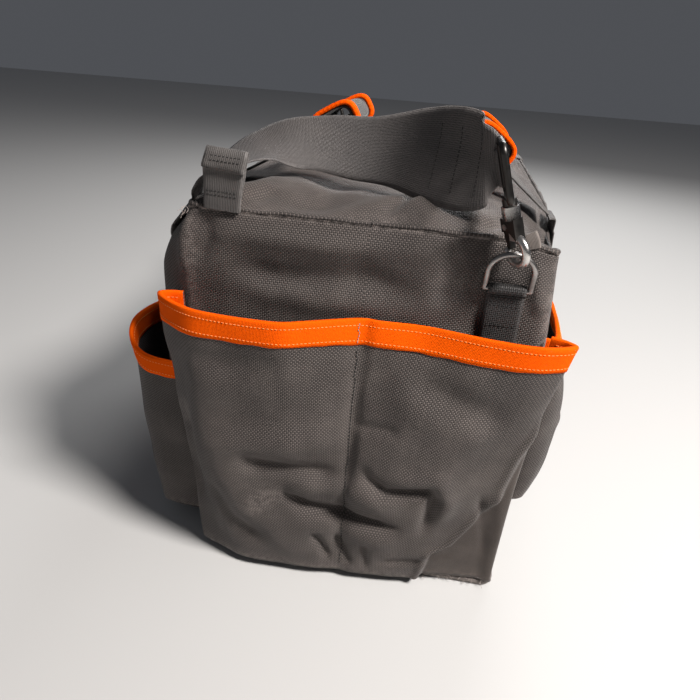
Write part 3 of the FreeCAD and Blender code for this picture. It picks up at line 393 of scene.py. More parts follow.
class Mesh:
    """Grids and tubes in millimetres, gathered into one object."""

    def __init__(self):
        self.points, self.faces, self.uvs, self.slots, self.wear, self.count = [], [], [], [], [], 0

    def grid(self, p, wrap_u=False, wrap_v=False, slot=0, keep=None, wear=None, uv=None):
        """A sheet of four-sided faces through rows of points. slot is one material, or one for each face."""
        rows, cols = p.shape[:2]
        if uv is None:
            du = np.linalg.norm(np.diff(p, axis=1), axis=2).mean(axis=0)
            dv = np.linalg.norm(np.diff(p, axis=0), axis=2).mean(axis=1)
            u, v = (np.concatenate([[0], np.cumsum(steps)]) for steps in (du, dv))
            uv = np.stack(np.meshgrid(u, v), axis=-1)
        index = np.arange(rows * cols).reshape(rows, cols) + self.count
        self.points.append(p.reshape(-1, 3))
        self.wear.append(np.zeros(rows * cols) if wear is None else np.clip(wear, 0, 1).reshape(-1))
        step_u = uv[:, -1:] + (uv[:, 1:2] - uv[:, 0:1])
        full_uv = np.concatenate([uv, step_u], axis=1) if wrap_u else uv
        last = full_uv[-1:] + (full_uv[1:2] - full_uv[0:1])
        full_uv = np.concatenate([full_uv, last], axis=0) if wrap_v else full_uv
        across = np.concatenate([index, index[:, :1]], axis=1) if wrap_u else index
        both = np.concatenate([across, across[:1]], axis=0) if wrap_v else across
        quads = np.stack([both[:-1, :-1], both[:-1, 1:], both[1:, 1:], both[1:, :-1]], axis=-1)
        maps = np.stack([full_uv[:-1, :-1], full_uv[:-1, 1:], full_uv[1:, 1:], full_uv[1:, :-1]], axis=-2)
        use = np.ones(quads.shape[:2], bool) if keep is None else keep
        self.faces.append(quads[use])
        self.uvs.append(maps[use].reshape(-1, 2))
        slots = np.full(quads.shape[:2], slot) if np.isscalar(slot) else slot
        self.slots.append(slots[use])
        self.count += rows * cols
        return self

    def tube(self, line, radius, sides, flat=1.0, normal=UP):
        """A round tube along a line, closed at both ends. flat squashes it along normal."""
        line = np.asarray(line, float)
        radius = np.broadcast_to(np.asarray(radius, float), (len(line),))
        ahead = unit(np.gradient(line, axis=0))
        normal = np.broadcast_to(normal, line.shape)
        side = unit(np.cross(ahead, normal))
        lift = unit(np.cross(side, ahead))
        turn = np.linspace(0, 2 * math.pi, sides, endpoint=False)
        circle = np.cos(turn)[None, :, None] * side[:, None]
        circle = circle + flat * np.sin(turn)[None, :, None] * lift[:, None]
        body = line[:, None] + radius[:, None, None] * circle
        tips = [np.repeat(end[None, None], sides, 1) for end in (line[0], line[-1])]
        return self.grid(np.concatenate([tips[0], body, tips[1]]), wrap_u=True)

    def stitches(self, line, normals, length, gap, radius):
        """A row of stitches along a line on a surface, whose normals are one for each point or one for all."""
        normals = np.broadcast_to(np.asarray(normals, float), line.shape)
        gone = run_length(line)
        sink = 0.1
        rise = np.array([-0.9, 0.35, 0.8, 0.35, -0.9]) * radius - sink
        thick = radius * np.array([0.5, 0.95, 1, 0.95, 0.5])
        for start in np.arange(gap, gone[-1] - length, length + gap):
            spots = start + length * np.array([0.0, 0.12, 0.5, 0.88, 1.0])
            ups = unit(sample(spots, gone, normals))
            self.tube(sample(spots, gone, line) + ups * rise[:, None], thick, 5, 0.8, ups)
        return self

    def ribbon(self, centre, across, half, thick, columns, lift=None, wear_edge=0.0):
        """A closed strip of webbing along centre. across points over its width, and lift(gone, w) raises it."""
        centre = np.asarray(centre, float)
        ahead = unit(np.gradient(centre, axis=0))
        across = unit(np.broadcast_to(across, centre.shape))
        normal = unit(np.cross(ahead, across))
        across = np.cross(normal, ahead)
        half = np.broadcast_to(np.asarray(half, float), (len(centre),))
        w = np.linspace(-1, 1, columns)
        gone = run_length(centre)
        raise_by = np.zeros((len(centre), columns)) if lift is None else lift(gone[:, None], w[None, :])
        mid = centre[:, None] + across[:, None] * (w[None, :, None] * half[:, None, None])
        mid = mid + normal[:, None] * raise_by[..., None]
        edge = (1 - np.abs(w) ** 12)[None, :, None]
        skin = normal[:, None] * (thick / 2) * (0.45 + 0.55 * edge)
        top, low = mid + skin, mid - skin
        ring = np.concatenate([top, low[:, ::-1]], axis=1)
        round_w = np.concatenate([w, w[::-1]])[None, :]
        size = ring.shape[:2]
        side = round_w * half.mean() + half.mean()
        uv = np.stack([np.broadcast_to(gone[:, None], size), np.broadcast_to(side, size)], axis=-1)
        wear = np.broadcast_to((np.abs(round_w) > 0.9) * wear_edge, size)
        self.grid(ring, wrap_u=True, uv=uv, wear=wear)
        self.grid(np.stack([top[0], low[0]]))
        self.grid(np.stack([low[-1], top[-1]]))
        return mid, normal

    def finish(self, name, mats, body, slot, stands_for=(), shell=0.0, offset=-1.0):
        """The object made of the gathered faces. shell gives an open sheet its thickness."""
        mesh = bpy.data.meshes.new(name)
        points = np.concatenate(self.points) * 0.001
        faces = np.concatenate(self.faces)
        mesh.vertices.add(len(points))
        mesh.vertices.foreach_set("co", points.astype(np.float32).ravel())
        mesh.loops.add(faces.size)
        mesh.loops.foreach_set("vertex_index", faces.astype(np.int32).ravel())
        mesh.polygons.add(len(faces))
        mesh.polygons.foreach_set("loop_start", np.arange(0, faces.size, 4, dtype=np.int32))
        mesh.polygons.foreach_set("material_index", np.concatenate(self.slots).astype(np.int32))
        layer = mesh.uv_layers.new(name="UVMap")
        layer.data.foreach_set("uv", (np.concatenate(self.uvs) * 0.001).astype(np.float32).ravel())
        wear = mesh.attributes.new("wear", "FLOAT", "POINT")
        wear.data.foreach_set("value", np.concatenate(self.wear).astype(np.float32))
        mesh.update(calc_edges=True)
        mesh.validate()
        mesh.polygons.foreach_set("use_smooth", np.ones(len(mesh.polygons), bool))
        made = bpy.data.objects.new(name, mesh)
        bpy.context.scene.collection.objects.link(made)
        for mat in mats:
            mesh.materials.append(M[mat])
        if shell:
            skin = made.modifiers.new("thickness", "SOLIDIFY")
            skin.thickness = shell * 0.001
            skin.offset = offset
        if stands_for:
            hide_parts(*stands_for)
        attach(made, body)
        return made


# ---- Bag: walls, base and top ----
def bag_ring(inset, radius, count, z):
    """The bag's outline at height z, anticlockwise from above, from the middle of the front."""
    half_x, half_y = HALF_X - inset, HALF_Y - inset
    corners = [(half_x, -half_y, -90), (half_x, half_y, 0), (-half_x, half_y, 90), (-half_x, -half_y, 180)]
    points = [(0.0, -half_y)]
    for x, y, start in corners:
        cx, cy = x - math.copysign(radius, x), y - math.copysign(radius, y)
        for turn in np.radians(np.linspace(start, start + 90, 9)):
            points.append((cx + radius * math.cos(turn), cy + radius * math.sin(turn)))
    p = np.array(points + points[:1])
    gone = run_length(p)
    flat = sample(np.linspace(0, gone[-1], count, endpoint=False), gone, p)
    return np.column_stack([flat, np.full(count, z)])


def add_folds(lift, flat, folds, widen=1.0, raise_by=1.0):
    for line, width, height in folds:
        lift = lift + fold(flat, line, widen * width, raise_by * height)
    return lift


FACE_FOLDS = (
    # lines of x and z, width, lift
    ([(-135, 352), (-80, 342), (0, 352), (60, 338)], 13, -6.5),
    ([(-150, 382), (-40, 378), (40, 386), (90, 378)], 10, 4.0),
    ([(-120, 330), (-40, 322), (30, 330)], 12, 3.5),
    ([(150, 392), (152, 360), (160, 330)], 7, 4.0),
    ([(-172, 395), (-164, 370), (-168, 330)], 8, 4.0),
    ([(-150, 396), (-140, 372), (-150, 345)], 6, -3.0),
    ([(60, 392), (75, 370), (70, 330)], 9, -4.0),
    ([(100, 396), (96, 372), (104, 345)], 6, 2.5),
)


def front_face(x, z):
    """How far the front panel stands proud of its flat, at x and z."""
    lift = 5.0 * step(z, 60, 150) * (1 - step(z, 372, 398)) * (1 - step(-x, 120, 166)) * (1 - step(x, 50, 100))
    return add_folds(lift, np.stack([x, z], axis=-1), FACE_FOLDS)


def slump(p):
    """Where the load pushes the bag's left side and corner out, and where the right shoulder rounds down."""
    x, y, z = p[..., 0], p[..., 1], p[..., 2]
    left = step(-x, 60, 170)
    front = 1 - step(y, -225, 120)
    corner = 11.0 * (1 - step(z, 362, 401)) * step(z, 20, 210) * front
    side = 25.0 * (1 - step(z, 332, 402)) * step(z, 20, 210) * step(y, -280, -256) * (1 - step(y, -240, -186))
    side += 9.0 * (1 - step(z, 326, 400)) * step(z, 20, 210) * step(y, -240, -186) * (1 - step(y, 150, 272))
    back = 7.0 * (1 - step(z, 326, 400)) * step(z, 20, 210) * (1 - front) * (1 - step(y, 150, 272))
    right = step(x, 118, 170) * hump(y, -232, 62.0) * step(z, 330, 402)
    hollow = np.exp(-(((x - 158) / 13.0) ** 2 + ((y + 243) / 13.0) ** 2)) * step(z, 385, 402)
    moved = p.copy()
    moved[..., 0] -= left * (corner + side + back) + 7.0 * right
    moved[..., 2] -= 13.0 * right + 8.0 * hollow
    return moved


def walls():
    rows = np.concatenate([np.linspace(1.2, 14, 5), np.linspace(20, 386, 92), np.linspace(390, 401, 5)])
    tucks = 3.5 * (1 - step(rows, 0, 14)) + 3.5 * step(rows, 394, 401.5) ** 2
    p = np.array([bag_ring(tuck, CORNER, 520, z) for tuck, z in zip(tucks, rows)])
    out = surface_normals(p, wrap=True)
    high = p[..., 2]
    belly = np.sin(math.pi * np.clip(high / HEIGHT, 0, 1))
    side = step(np.abs(p[..., 0]), 150, 169)
    long_way = np.cos(p[..., 1] / HALF_Y * math.pi / 2) ** 2
    lift = side * belly * long_way * 3.0
    lift += 1.8 * ripple(p, 95, 3) * belly + 1.1 * ripple(p, 38, 5) * belly + 0.5 * ripple(p, 17, 6) * belly
    front = (p[..., 1] < -265) & (np.abs(p[..., 0]) < 168)
    calm = np.where(front, 0.5, 1.0)
    lift = lift * calm + np.where(front, front_face(p[..., 0], high), 0.0)
    p = slump(p + out * lift[..., None])
    edge = hump(high, 400, 3.0) * 0.55 + hump(high, 6, 6.0) * 0.5
    corner = hump(np.abs(p[..., 0]), 168, 7) * hump(np.abs(p[..., 1]), 277, 9) * 0.35
    mesh = Mesh().grid(p, wrap_u=True, wear=edge + corner)
    mesh.finish("bag_walls", ["bag_cloth"], "bag", "bag_cloth",
                ("front_end_panel", "rear_end_panel", "left_side_panel", "right_side_panel"), CLOTH)


TOP_FOLDS = (
    # lines of x and y, width, lift
    ([(-84, -262), (-60, -235), (-63, -200)], 18, 5.0),
    ([(-30, -268), (-10, -240), (-5, -205)], 15, -3.5),
    ([(20, -262), (45, -240), (80, -250), (112, -262)], 15, 5.5),
    ([(8, -272), (20, -250), (38, -222)], 7, -6.0),
    ([(96, -274), (112, -262), (122, -240)], 7, -6.5),
    ([(-140, -262), (-112, -240), (-104, -205)], 14, 4.0),
    ([(-108, -270), (-96, -246)], 8, -4.0),
    ([(140, -268), (146, -230), (138, -180)], 10, 4.0),
    ([(-150, 262), (-60, 240), (40, 250), (120, 262)], 16, 4.0),
)


def top_height(x, y):
    """The top cloth's height: it springs up from its seam, lumps over the load and lies flat at the zip."""
    inset = np.minimum(HALF_X - np.abs(x), HALF_Y - np.abs(y))
    rise = 14.0 * (1 - np.exp(-np.maximum(inset, 0) / 20.0)) - 1.0
    spots = np.stack([x, y, 0 * x], axis=-1)
    lumps = add_folds(4.2 * ripple(spots, 62, 11) + 2.4 * ripple(spots, 27, 17), spots[..., :2], TOP_FOLDS)
    under_handle = step(np.abs(x), 100, 135) * hump(np.abs(y), ANCHOR_Y, 30.0)
    calm = step(inset, 2, 22) * (1 - under_handle)
    zip_flat = 1 - (1 - step(np.abs(x), 15, 42)) * step(y, -150, -122) * (1 - step(y, 217, 240))
    return HEIGHT + rise + lumps * calm * zip_flat * 0.9


def top():
    xs = np.unique(np.concatenate([np.linspace(-HALF_X, HALF_X, 116), [-SLOT_HALF, SLOT_HALF]]))
    ys = np.unique(np.concatenate([np.linspace(-HALF_Y, HALF_Y, 190), [SLOT_FRONT, SLOT_BACK]]))
    x, y = np.meshgrid(xs, ys)
    bow_x = np.sign(x) * 2.2 * step(np.abs(y), 262, 280) * step(np.abs(x), 150, 170)
    bow_y = np.sign(y) * 2.2 * step(np.abs(x), 150, 170) * step(np.abs(y), 262, 280)
    p = slump(np.stack([x - bow_x, y - bow_y, top_height(x, y)], axis=-1))
    mid_x, mid_y = np.meshgrid((xs[:-1] + xs[1:]) / 2, (ys[:-1] + ys[1:]) / 2)
    keep = ~((np.abs(mid_x) < SLOT_HALF) & (mid_y > SLOT_FRONT) & (mid_y < SLOT_BACK))
    inset = np.minimum(HALF_X - np.abs(x), HALF_Y - np.abs(y))
    wear = 0.5 * np.exp(-inset / 3.0) + 0.15 * step(ripple(p, 30, 9), 0.6, 1.6)
    mesh = Mesh().grid(p, keep=keep, wear=wear)
    mesh.finish("top_cloth", ["bag_cloth"], "bag", "bag_cloth", ("top_panel",), CLOTH)

    line = bag_ring(1.5, CORNER - 1.5, 700, 400.6)
    line[:, 2] += 0.8 * ripple(line, 24, 41)
    line = slump(line)
    thick = 1.9 + 0.35 * ripple(line, 14, 43)
    mesh = Mesh().tube(np.vstack([line, line[:1]]), np.append(thick, thick[0]), 10)
    mesh.finish("top_seam_roll", ["bag_cloth"], "bag", "bag_cloth")


def base():
    share = np.linspace(0, 1, 14)[:, None]
    p = bag_ring(3, CORNER - 3, 240, 0.0)[None] * share[..., None]
    p[..., 2] = 0.05 + 1.4 * step(share, 0.93, 1.0)
    mesh = Mesh().grid(p[::-1], wrap_u=True)
    mesh.finish("base_cloth", ["bag_cloth"], "bag", "bag_cloth", ("base_panel",), 1.8, 1.0)

    # The binding's cross-section: heights, and how far out of the wall each of them is.
    z = np.array([0.5, 1.0, 4.3, 7.3, 8.0, 7.6, 0.6])
    out = np.array([0.2, 1.2, 1.7, 1.3, 0.4, -0.3, -0.3])
    line = bag_ring(-0.6, CORNER + 0.6, 900, 0.0)
    away = unit(np.cross(np.gradient(line, axis=0), UP))
    wave = 0.5 * ripple(line, 16, 51) + 0.35 * ripple(line, 7, 52)
    p = line[None] + away[None] * (out[:, None] + 0.25 * wave[None])[..., None] + UP * z[:, None, None]
    p[..., 2] += (0.5 * wave)[None] * step(z, 2, 8)[:, None]
    wear = np.clip(0.35 + 0.5 * ripple(p, 20, 53), 0, 1) * step(z, 1, 6)[:, None]
    mesh = Mesh().grid(p[::-1], wrap_u=True, wrap_v=True, wear=wear)
    mesh.finish("base_edge_tape", ["edge_tape"], "bag", "edge_tape", ("base_seam_binding",))


def inside():
    for name, inset, low, high, thick, mat, node in (
            ("foam_wall", 5.0, 8.0, 384.0, 4.0, "foam", "wall_foam"),
            ("lining_walls", 10.0, 7.0, 390.0, 1.0, "lining_cloth", "lining")):
        p = np.array([bag_ring(inset, 9.0, 200, z) for z in np.linspace(low, high, 40)])
        p = p - surface_normals(p, True) * (0.4 + 0.4 * ripple(p, 60, 61))[..., None]
        made = Mesh().grid(p, wrap_u=True).finish(name, [mat], "bag", mat, (node,), thick)


# ---- Pockets ----
FRONT_KEYS = (
    (12, [
        (-164, -281), (-168, -285), (-163, -291), (-140, -300), (-108, -310), (-60, -311), (-30, -310),
        (-3, -306), (15, -308), (50, -304), (85, -299), (112, -294), (150, -289), (163, -288), (168, -285),
        (164, -281)
    ]),
    (165, [
        (-170, -281), (-179, -284), (-182, -289), (-168, -303), (-142, -319), (-70, -319), (-40, -314),
        (-2, -305), (15, -308), (52, -312), (88, -311), (120, -306), (150, -299), (166, -293), (172, -287),
        (169, -281)
    ]),
    (315, [
        (-176, -281), (-190, -284), (-196, -292), (-172, -312), (-138, -325), (-77, -328), (-46, -317),
        (-1, -295), (18, -295), (56, -294), (81, -298), (118, -306), (164, -309), (192, -298), (187, -288),
        (173, -281)
    ]),
)
FRONT_FOLDS = (
    # lines of x and z, width, lift
    ([(-150, 168), (-100, 178), (-50, 184), (-4, 191)], 14, 5.5),
    ([(-64, 134), (-10, 129), (30, 123), (64, 119)], 12, 6.0),
    ([(-116, 160), (-90, 150), (-50, 147), (-4, 144)], 8, -7.0),
    ([(-70, 126), (-60, 112), (-38, 98), (-5, 91), (30, 88), (68, 86)], 6, -9.0),
    ([(-70, 84), (-30, 74), (30, 70), (70, 68)], 12, 4.0),
    ([(10, 166), (24, 146), (40, 135), (62, 137), (85, 142), (91, 134), (88, 110), (83, 74)], 5.5, -7.0),
    ([(34, 152), (60, 154), (92, 158), (104, 130), (100, 96)], 9, 4.0),
    ([(-34, 68), (-22, 45), (-12, 22)], 4, -4.5),
    ([(-9, 66), (2, 42), (11, 20)], 4, -4.0),
    ([(25, 64), (28, 16)], 4, -3.5),
    ([(-1, 206), (20, 206), (50, 209)], 5, -2.2),
    ([(42, 266), (95, 250), (152, 231)], 12, -3.5),
    ([(30, 240), (80, 226), (140, 206)], 14, 2.5),
    ([(-158, 216), (-132, 150), (-106, 93), (-62, 55), (-12, 24)], 17, 4.5),
    ([(-150, 120), (-120, 70), (-80, 40)], 9, -3.5),
    ([(33, 34), (85, 42), (130, 50)], 5, -3.2),
    ([(-170, 268), (-120, 262), (-60, 274)], 12, -3.0),
    ([(2, 301), (0, 224), (0, 177), (-2, 138), (-4, 90), (-3, 20)], 5, -2.4),
    ([(136, 144), (148, 90), (158, 38)], 4, -4.0),
    ([(152, 152), (166, 95), (174, 42)], 5, 4.0),
    ([(-176, 200), (-170, 120), (-164, 60)], 6, -4.0),
)
EDGE_FOLD = ([12, 58, 70, 137, 189, 240, 296, 316], [86, 95, 116, 156, 166, 188, 200, 230])


def at_key(keys, z):
    """The plan outline at a height, through three keyed outlines."""
    (z0, a), (z1, b), (z2, c) = ((z, np.asarray(points, float)) for z, points in keys)
    la = (z - z1) * (z - z2) / ((z0 - z1) * (z0 - z2))
    lb = (z - z0) * (z - z2) / ((z1 - z0) * (z1 - z2))
    lc = (z - z0) * (z - z1) / ((z2 - z0) * (z2 - z1))
    return la * a + lb * b + lc * c


class Pocket:
    """A bellows pocket, sewn to a wall by its two upright edges and its floor."""

    def __init__(self, keys, folds, columns, seed, flat_axis, spin=1, edge_fold=None, dips=()):
        self.keys, self.folds, self.columns, self.seed = keys, folds, columns, seed
        self.flat_axis, self.spin, self.edge_fold, self.dips = flat_axis, spin, edge_fold, dips
        self.floor, self.mouth = keys[0][0], keys[2][0]

    def surface(self, shares):
        """Points and normals at shares of the height, 0 at the floor and 1 at the mouth."""
        rows = []
        for share in shares:
            z = self.floor + share * (self.mouth - self.floor)
            plan = smooth_line(at_key(self.keys, z), self.columns)
            height = np.full(self.columns, z)
            flat = plan[:, self.flat_axis]
            for centre, width, drop in self.dips:
                height = height - drop * share ** 2 * hump(flat, centre, width)
            rows.append(np.column_stack([plan, height]))
        p = np.array(rows)
        out = surface_normals(p)
        t = np.linspace(0, 1, self.columns)[None, :]
        tall = np.asarray(shares)[:, None]
        calm = step(t, 0, 0.05) * (1 - step(t, 0.95, 1)) * (0.35 + 0.65 * step(tall, 0, 0.1))
        calm = calm * (1 - 0.7 * step(tall, 0.86, 1.0))
        flat = np.stack([p[..., self.flat_axis], p[..., 2]], axis=-1)
        stretch = p * np.array([1.0, 1.0, 0.7])
        lift = add_folds(np.zeros(p.shape[:2]), flat, self.folds, 1.25, 1.3)
        lift += 1.6 * ripple(stretch, 55, self.seed) + 0.8 * ripple(stretch, 24, self.seed + 1)
        lift *= calm
        self.beyond = np.zeros(p.shape[:2])
        if self.edge_fold:
            gap = p[..., 0] - np.interp(p[..., 2], *self.edge_fold)
            self.beyond = step(gap, 0, 7)
            lift = lift * (1 - 0.75 * self.beyond)
            lift = lift - 6.0 * self.beyond * step(t, 0, 0.1) * (1 - step(t, 0.93, 0.99))
            lift += 2.5 * hump(gap, -3, 4.0) * (tall < 0.97)
        p = p + out * lift[..., None]
        p[..., :2] *= self.spin
        return p, surface_normals(p)

    def build(self, label, axis, wall):
        """The pocket's cloth. Its floor runs back to the wall, which is a place on an axis."""
        p = self.surface(np.linspace(0, 1, 110))[0]
        slots = (self.beyond[:-1, :-1] > 0.5).astype(int)
        under = []
        for share in np.linspace(1, 0, 7)[:-1]:
            ring = p[0].copy()
            ring[:, axis] = ring[:, axis] * (1 - share) + wall * share
            ring[:, 2] -= 1.0 + 1.5 * math.sin(math.pi * share)
            under.append(ring)
        wear = 0.3 * hump(p[..., 2], self.floor, 8.0) + 0.25 * step(ripple(p, 40, self.seed + 5), 0.9, 1.8)
        mesh = Mesh().grid(p, slot=slots, wear=wear).grid(np.array(under + [p[0]]))
        mesh.finish(f"{label}_shell", ["bag_cloth", "gusset_cloth"], "bag", "bag_cloth", (label,), CLOTH)

    def binding(self, label):
        """The orange binding folded over the mouth, and its two rows of stitches on each face."""
        tall = self.mouth - self.floor
        p, out = self.surface(np.linspace(1 - BAND / tall, 1, 9))
        p[0, :, 2] += 0.5 * ripple(p[0], 12, self.seed + 9)
        outside = p + out * 1.25
        ridge = p[-1] + UP * 1.3
        over = [(ridge + out[-1] * 0.6)[None], (ridge - out[-1] * 2.6)[None]]
        mesh = Mesh().grid(np.concatenate([outside, *over, (p - out * 3.3)[::-1]]), wrap_v=True)
        mesh.finish(f"{label}_band", ["orange_binding"], "bag", "orange_binding", (f"{label}_binding",))
        rows = Mesh()
        for share in (0.17, 0.80):
            low = int(share * 8)
            mix = share * 8 - low
            line = outside[low] * (1 - mix) + outside[low + 1] * mix
            rows.stitches(line[2:-2], out[low][2:-2], 2.6, 1.2, 0.36)
            inside_line = line - out[low] * 4.75
            rows.stitches(inside_line[2:-2], -out[low][2:-2], 2.6, 1.2, 0.36)
        rows.finish(f"{label}_band_stitches", ["orange_thread"], "bag", "orange_binding")


def side_keys(sign, heights, *outlines):
    """A side pocket's keys. Its outlines are written for the right side, and sign -1 mirrors them."""
    return tuple((z, [(sign * x, y) for x, y in points][::sign]) for z, points in zip(heights, outlines))


LEFT_MOUTH = [
    (171, -267), (200, -267), (232, -262), (254, -250), (262, -232), (264, -200), (256, -165), (241, -136),
    (262, -120), (270, -85), (262, -38), (243, 0), (258, 22), (266, 70), (258, 112), (243, 134), (256, 160),
    (262, 205), (250, 250), (222, 264), (171, 267)
]
LEFT_MID = [
    (171, -264), (198, -265), (230, -262), (244, -252), (251, -236), (254, -200), (250, -165), (238, -136),
    (247, -120), (255, -80), (250, -38), (238, 0), (248, 25), (254, 70), (248, 110), (237, 134), (246, 160),
    (252, 200), (243, 248), (220, 262), (171, 264)
]
LEFT_BASE = [
    (171, -261), (195, -261), (222, -259), (231, -252), (236, -240), (237, -200), (235, -165), (229, -136),
    (234, -120), (237, -80), (235, -38), (229, 0), (235, 25), (237, 70), (235, 112), (229, 134), (234, 160),
    (236, 205), (230, 248), (212, 260), (171, 261)
]
RIGHT_MOUTH = [
    (171, -267), (176, -268), (180, -265), (183, -258), (185, -245), (189, -205), (190, -165), (184, -136),
    (195, -118), (199, -75), (194, -35), (185, 0), (194, 30), (198, 72), (193, 110), (186, 134), (194, 160),
    (197, 205), (193, 250), (184, 266), (171, 267)
]
RIGHT_MID = [
    (171, -265), (186, -267), (197, -264), (204, -256), (208, -244), (210, -205), (206, -165), (198, -136),
    (207, -118), (213, -80), (209, -38), (199, 0), (208, 28), (212, 72), (208, 110), (200, 134), (208, 160),
    (212, 205), (206, 248), (194, 264), (171, 265)
]
RIGHT_BASE = [
    (171, -255), (178, -256), (186, -254), (191, -247), (195, -236), (198, -200), (197, -165), (193, -136),
    (197, -120), (202, -80), (200, -38), (194, 0), (200, 25), (203, 70), (200, 112), (195, 134), (199, 160),
    (202, 205), (196, 248), (186, 260), (171, 261)
]


def side_folds(seed, top, floor):
    """Upright folds beside each seam, and sagging creases across each cell."""
    rng = np.random.RandomState(seed)
    folds = []
    for seam in (-134, 0, 134):
        folds.append(([(seam, floor + 4), (seam, top - 2)], 4, -4.0))
        for way in (-1, 1):
            lean = rng.uniform(8, 26)
            folds.append(([(seam + way * 12, top - 15), (seam + way * (12 + lean), top - 80)], 5, -3.0))
            folds.append(([(seam + way * 10, floor + 12), (seam + way * (14 + lean), floor + 62)], 5, -3.2))
    for centre in (-200, -66, 66, 200):
        low = floor + rng.uniform(25, 65)
        crease = [(centre - 45, low + 34), (centre, low), (centre + 45, low + rng.uniform(20, 40))]
        folds.append((crease, 8, -4.5))
        folds.append(([(centre - 40, low + 60), (centre, low + 28), (centre + 42, low + 55)], 10, 3.5))
        folds.append(([(centre - 20, top - 40), (centre + rng.uniform(-10, 20), top - 100)], 7, 2.5))
    return tuple(folds)


def pockets():
    rear_folds = tuple(([(-x, z) for x, z in line], width, lift) for line, width, lift in FRONT_FOLDS[:18])
    rear_keys = tuple((z, [(-x, y) for x, y in points][::-1]) for z, points in FRONT_KEYS)
    left_keys = side_keys(-1, (28, 140, 250), LEFT_BASE, LEFT_MID, LEFT_MOUTH)
    right_keys = side_keys(1, (110, 205, 306), RIGHT_BASE, RIGHT_MID, RIGHT_MOUTH)
    front = Pocket(FRONT_KEYS, FRONT_FOLDS, 230, 71, 0, edge_fold=EDGE_FOLD)
    rear = Pocket(rear_keys, rear_folds, 230, 83, 0, spin=-1)
    left = Pocket(left_keys, side_folds(5, 250, 28), 330, 91, 1, dips=((-266, 22, 24),))
    right = Pocket(right_keys, side_folds(8, 306, 110), 330, 97, 1)
    for end, pocket, axis, wall in (("front", front, 1, -POCKET_BACK), ("rear", rear, 1, POCKET_BACK),
                                    ("left", left, 0, -HALF_X - 1), ("right", right, 0, HALF_X + 1)):
        pocket.build(f"{end}_pocket", axis, wall)
        pocket.binding(f"{end}_pocket")

    # The front pocket's middle seam, and the tack that holds its binding there.
    band = np.linspace(1 - (BAND - 1) / (front.mouth - front.floor), 0.995, 12)
    for label, shares, out_by, size, thread, slot in (
            ("seam", np.linspace(0.03, 0.90, 60), 0.4, (2.4, 1.8, 0.55), "dark_thread", "bag_cloth"),
            ("tack", band, 1.5, (2.2, 0.8, 0.42), "thread", "orange_binding")):
        p, out = front.surface(shares)
        near = np.argmin(np.abs(p[..., 0] + 1), axis=1)
        rows = np.arange(len(near))
        row = Mesh().stitches(p[rows, near] + out[rows, near] * out_by, out[rows, near], *size)
        row.finish(f"front_pocket_{label}", [thread], "bag", slot)


# ---- Webbing: strap, handles, tabs ----
STRAP_EDGES = (
    # lower edge, upper edge, from the front hook to the rear hook
    ((109.0, -270.5, 443.5), (99.6, -270.5, 472.5)), ((97, -271, 428), (90, -266, 488)),
    ((84, -267, 416), (75, -250, 498)), ((47, -247, 416), (39, -216, 493)), ((3, -216, 421), (-4, -186, 479)),
    ((-38, -204, 423), (-47, -172, 473)), ((-88, -204, 431), (-96, -172, 459)),
    ((-124, -230, 434), (-129, -192, 444)), ((-153, -266, 424), (-157, -220, 430)),
    ((-172, -269, 407), (-173, -223, 409)), ((-182, -252, 372), (-184, -206, 385)),
    ((-195, -198, 324), (-195, -148, 364)), ((-197, -120, 294), (-197, -92, 352)),
    ((-197, -30, 288), (-197, -30, 350)), ((-197, 55, 288), (-197, 55, 350)),
    ((-197, 120, 288), (-197, 120, 350)), ((-196, 186, 298), (-196, 168, 356)),
    ((-192, 236, 325), (-191, 208, 375)), ((-188, 264, 350), (-187, 244, 400)),
    ((-181, 284, 372), (-184, 276, 416)), ((-166.9, 294.5, 395.5), (-176.0, 294.5, 423.5)),
)


def strap():
    low, high = (smooth_line([edge[k] for edge in STRAP_EDGES], 420) for k in (0, 1))
    for line in (low, high):
        skin = slump(np.column_stack([np.full(420, -HALF_X), line[:, 1:]]))[:, 0] - 4.0
        beside = (line[:, 0] < -168) & (line[:, 2] < 404) & (line[:, 1] < 270)
        line[:, 0] = np.where(beside, np.minimum(line[:, 0], skin), line[:, 0])
    centre, across = (low + high) / 2, high - low
    half = np.linalg.norm(across, axis=1) / 2

    def lift(gone, w):
        ridge = -hump(gone, 40, 45) * 3.0 * np.maximum(w - 0.35, 0) * 3
        cup = 0.25 * (1 - w ** 2) * np.sin(gone / 37.0)
        return ridge + cup

    mesh = Mesh()
    mid, normal = mesh.ribbon(centre, across, half, 2.4, 15, lift, 0.25)
    mesh.finish("strap_ribbon", ["strap_webbing"], "bag", "strap_webbing", ("shoulder_strap",))

    sew = Mesh()
    for start, stop in ((14, 34), (386, 406)):
        for index in (start, (start + stop) // 2, stop):
            for side in (-1, 1):
                row = mid[index, 2:-2] + side * 1.25 * normal[index]
                sew.stitches(row, side * normal[index], 2.6, 1.2, 0.35)
    sew.finish("strap_stitches", ["dark_thread"], "bag", "strap_webbing")
    # At each end the strap goes round the bar of its hook's eye.
    for end, foot, head, start in (("front", (109.5, -270.3, 442.0), (99.9, -270.3, 471.5), -60),
                                   ("rear", (-161.6, 296, 395.0), (-171.0, 296, 424.0), -80)):
        foot, head = np.array(foot), np.array(head)
        axis = unit(head - foot)
        side = unit(np.cross(axis, [0, 1, 0]))
        turns = np.radians(np.linspace(start, start + 320, 26))[:, None]
        ring = side * np.cos(turns) * 4.6 + np.array([0, 1, 0]) * np.sin(turns) * 4.6
        wrap = Mesh()
        wrap.ribbon((foot + head) / 2 + ring, axis, np.linalg.norm(head - foot) / 2, 2.2, 9, wear_edge=0.3)
        wrap.finish(f"strap_wrap_{end}", ["strap_webbing"], "bag", "strap_webbing")


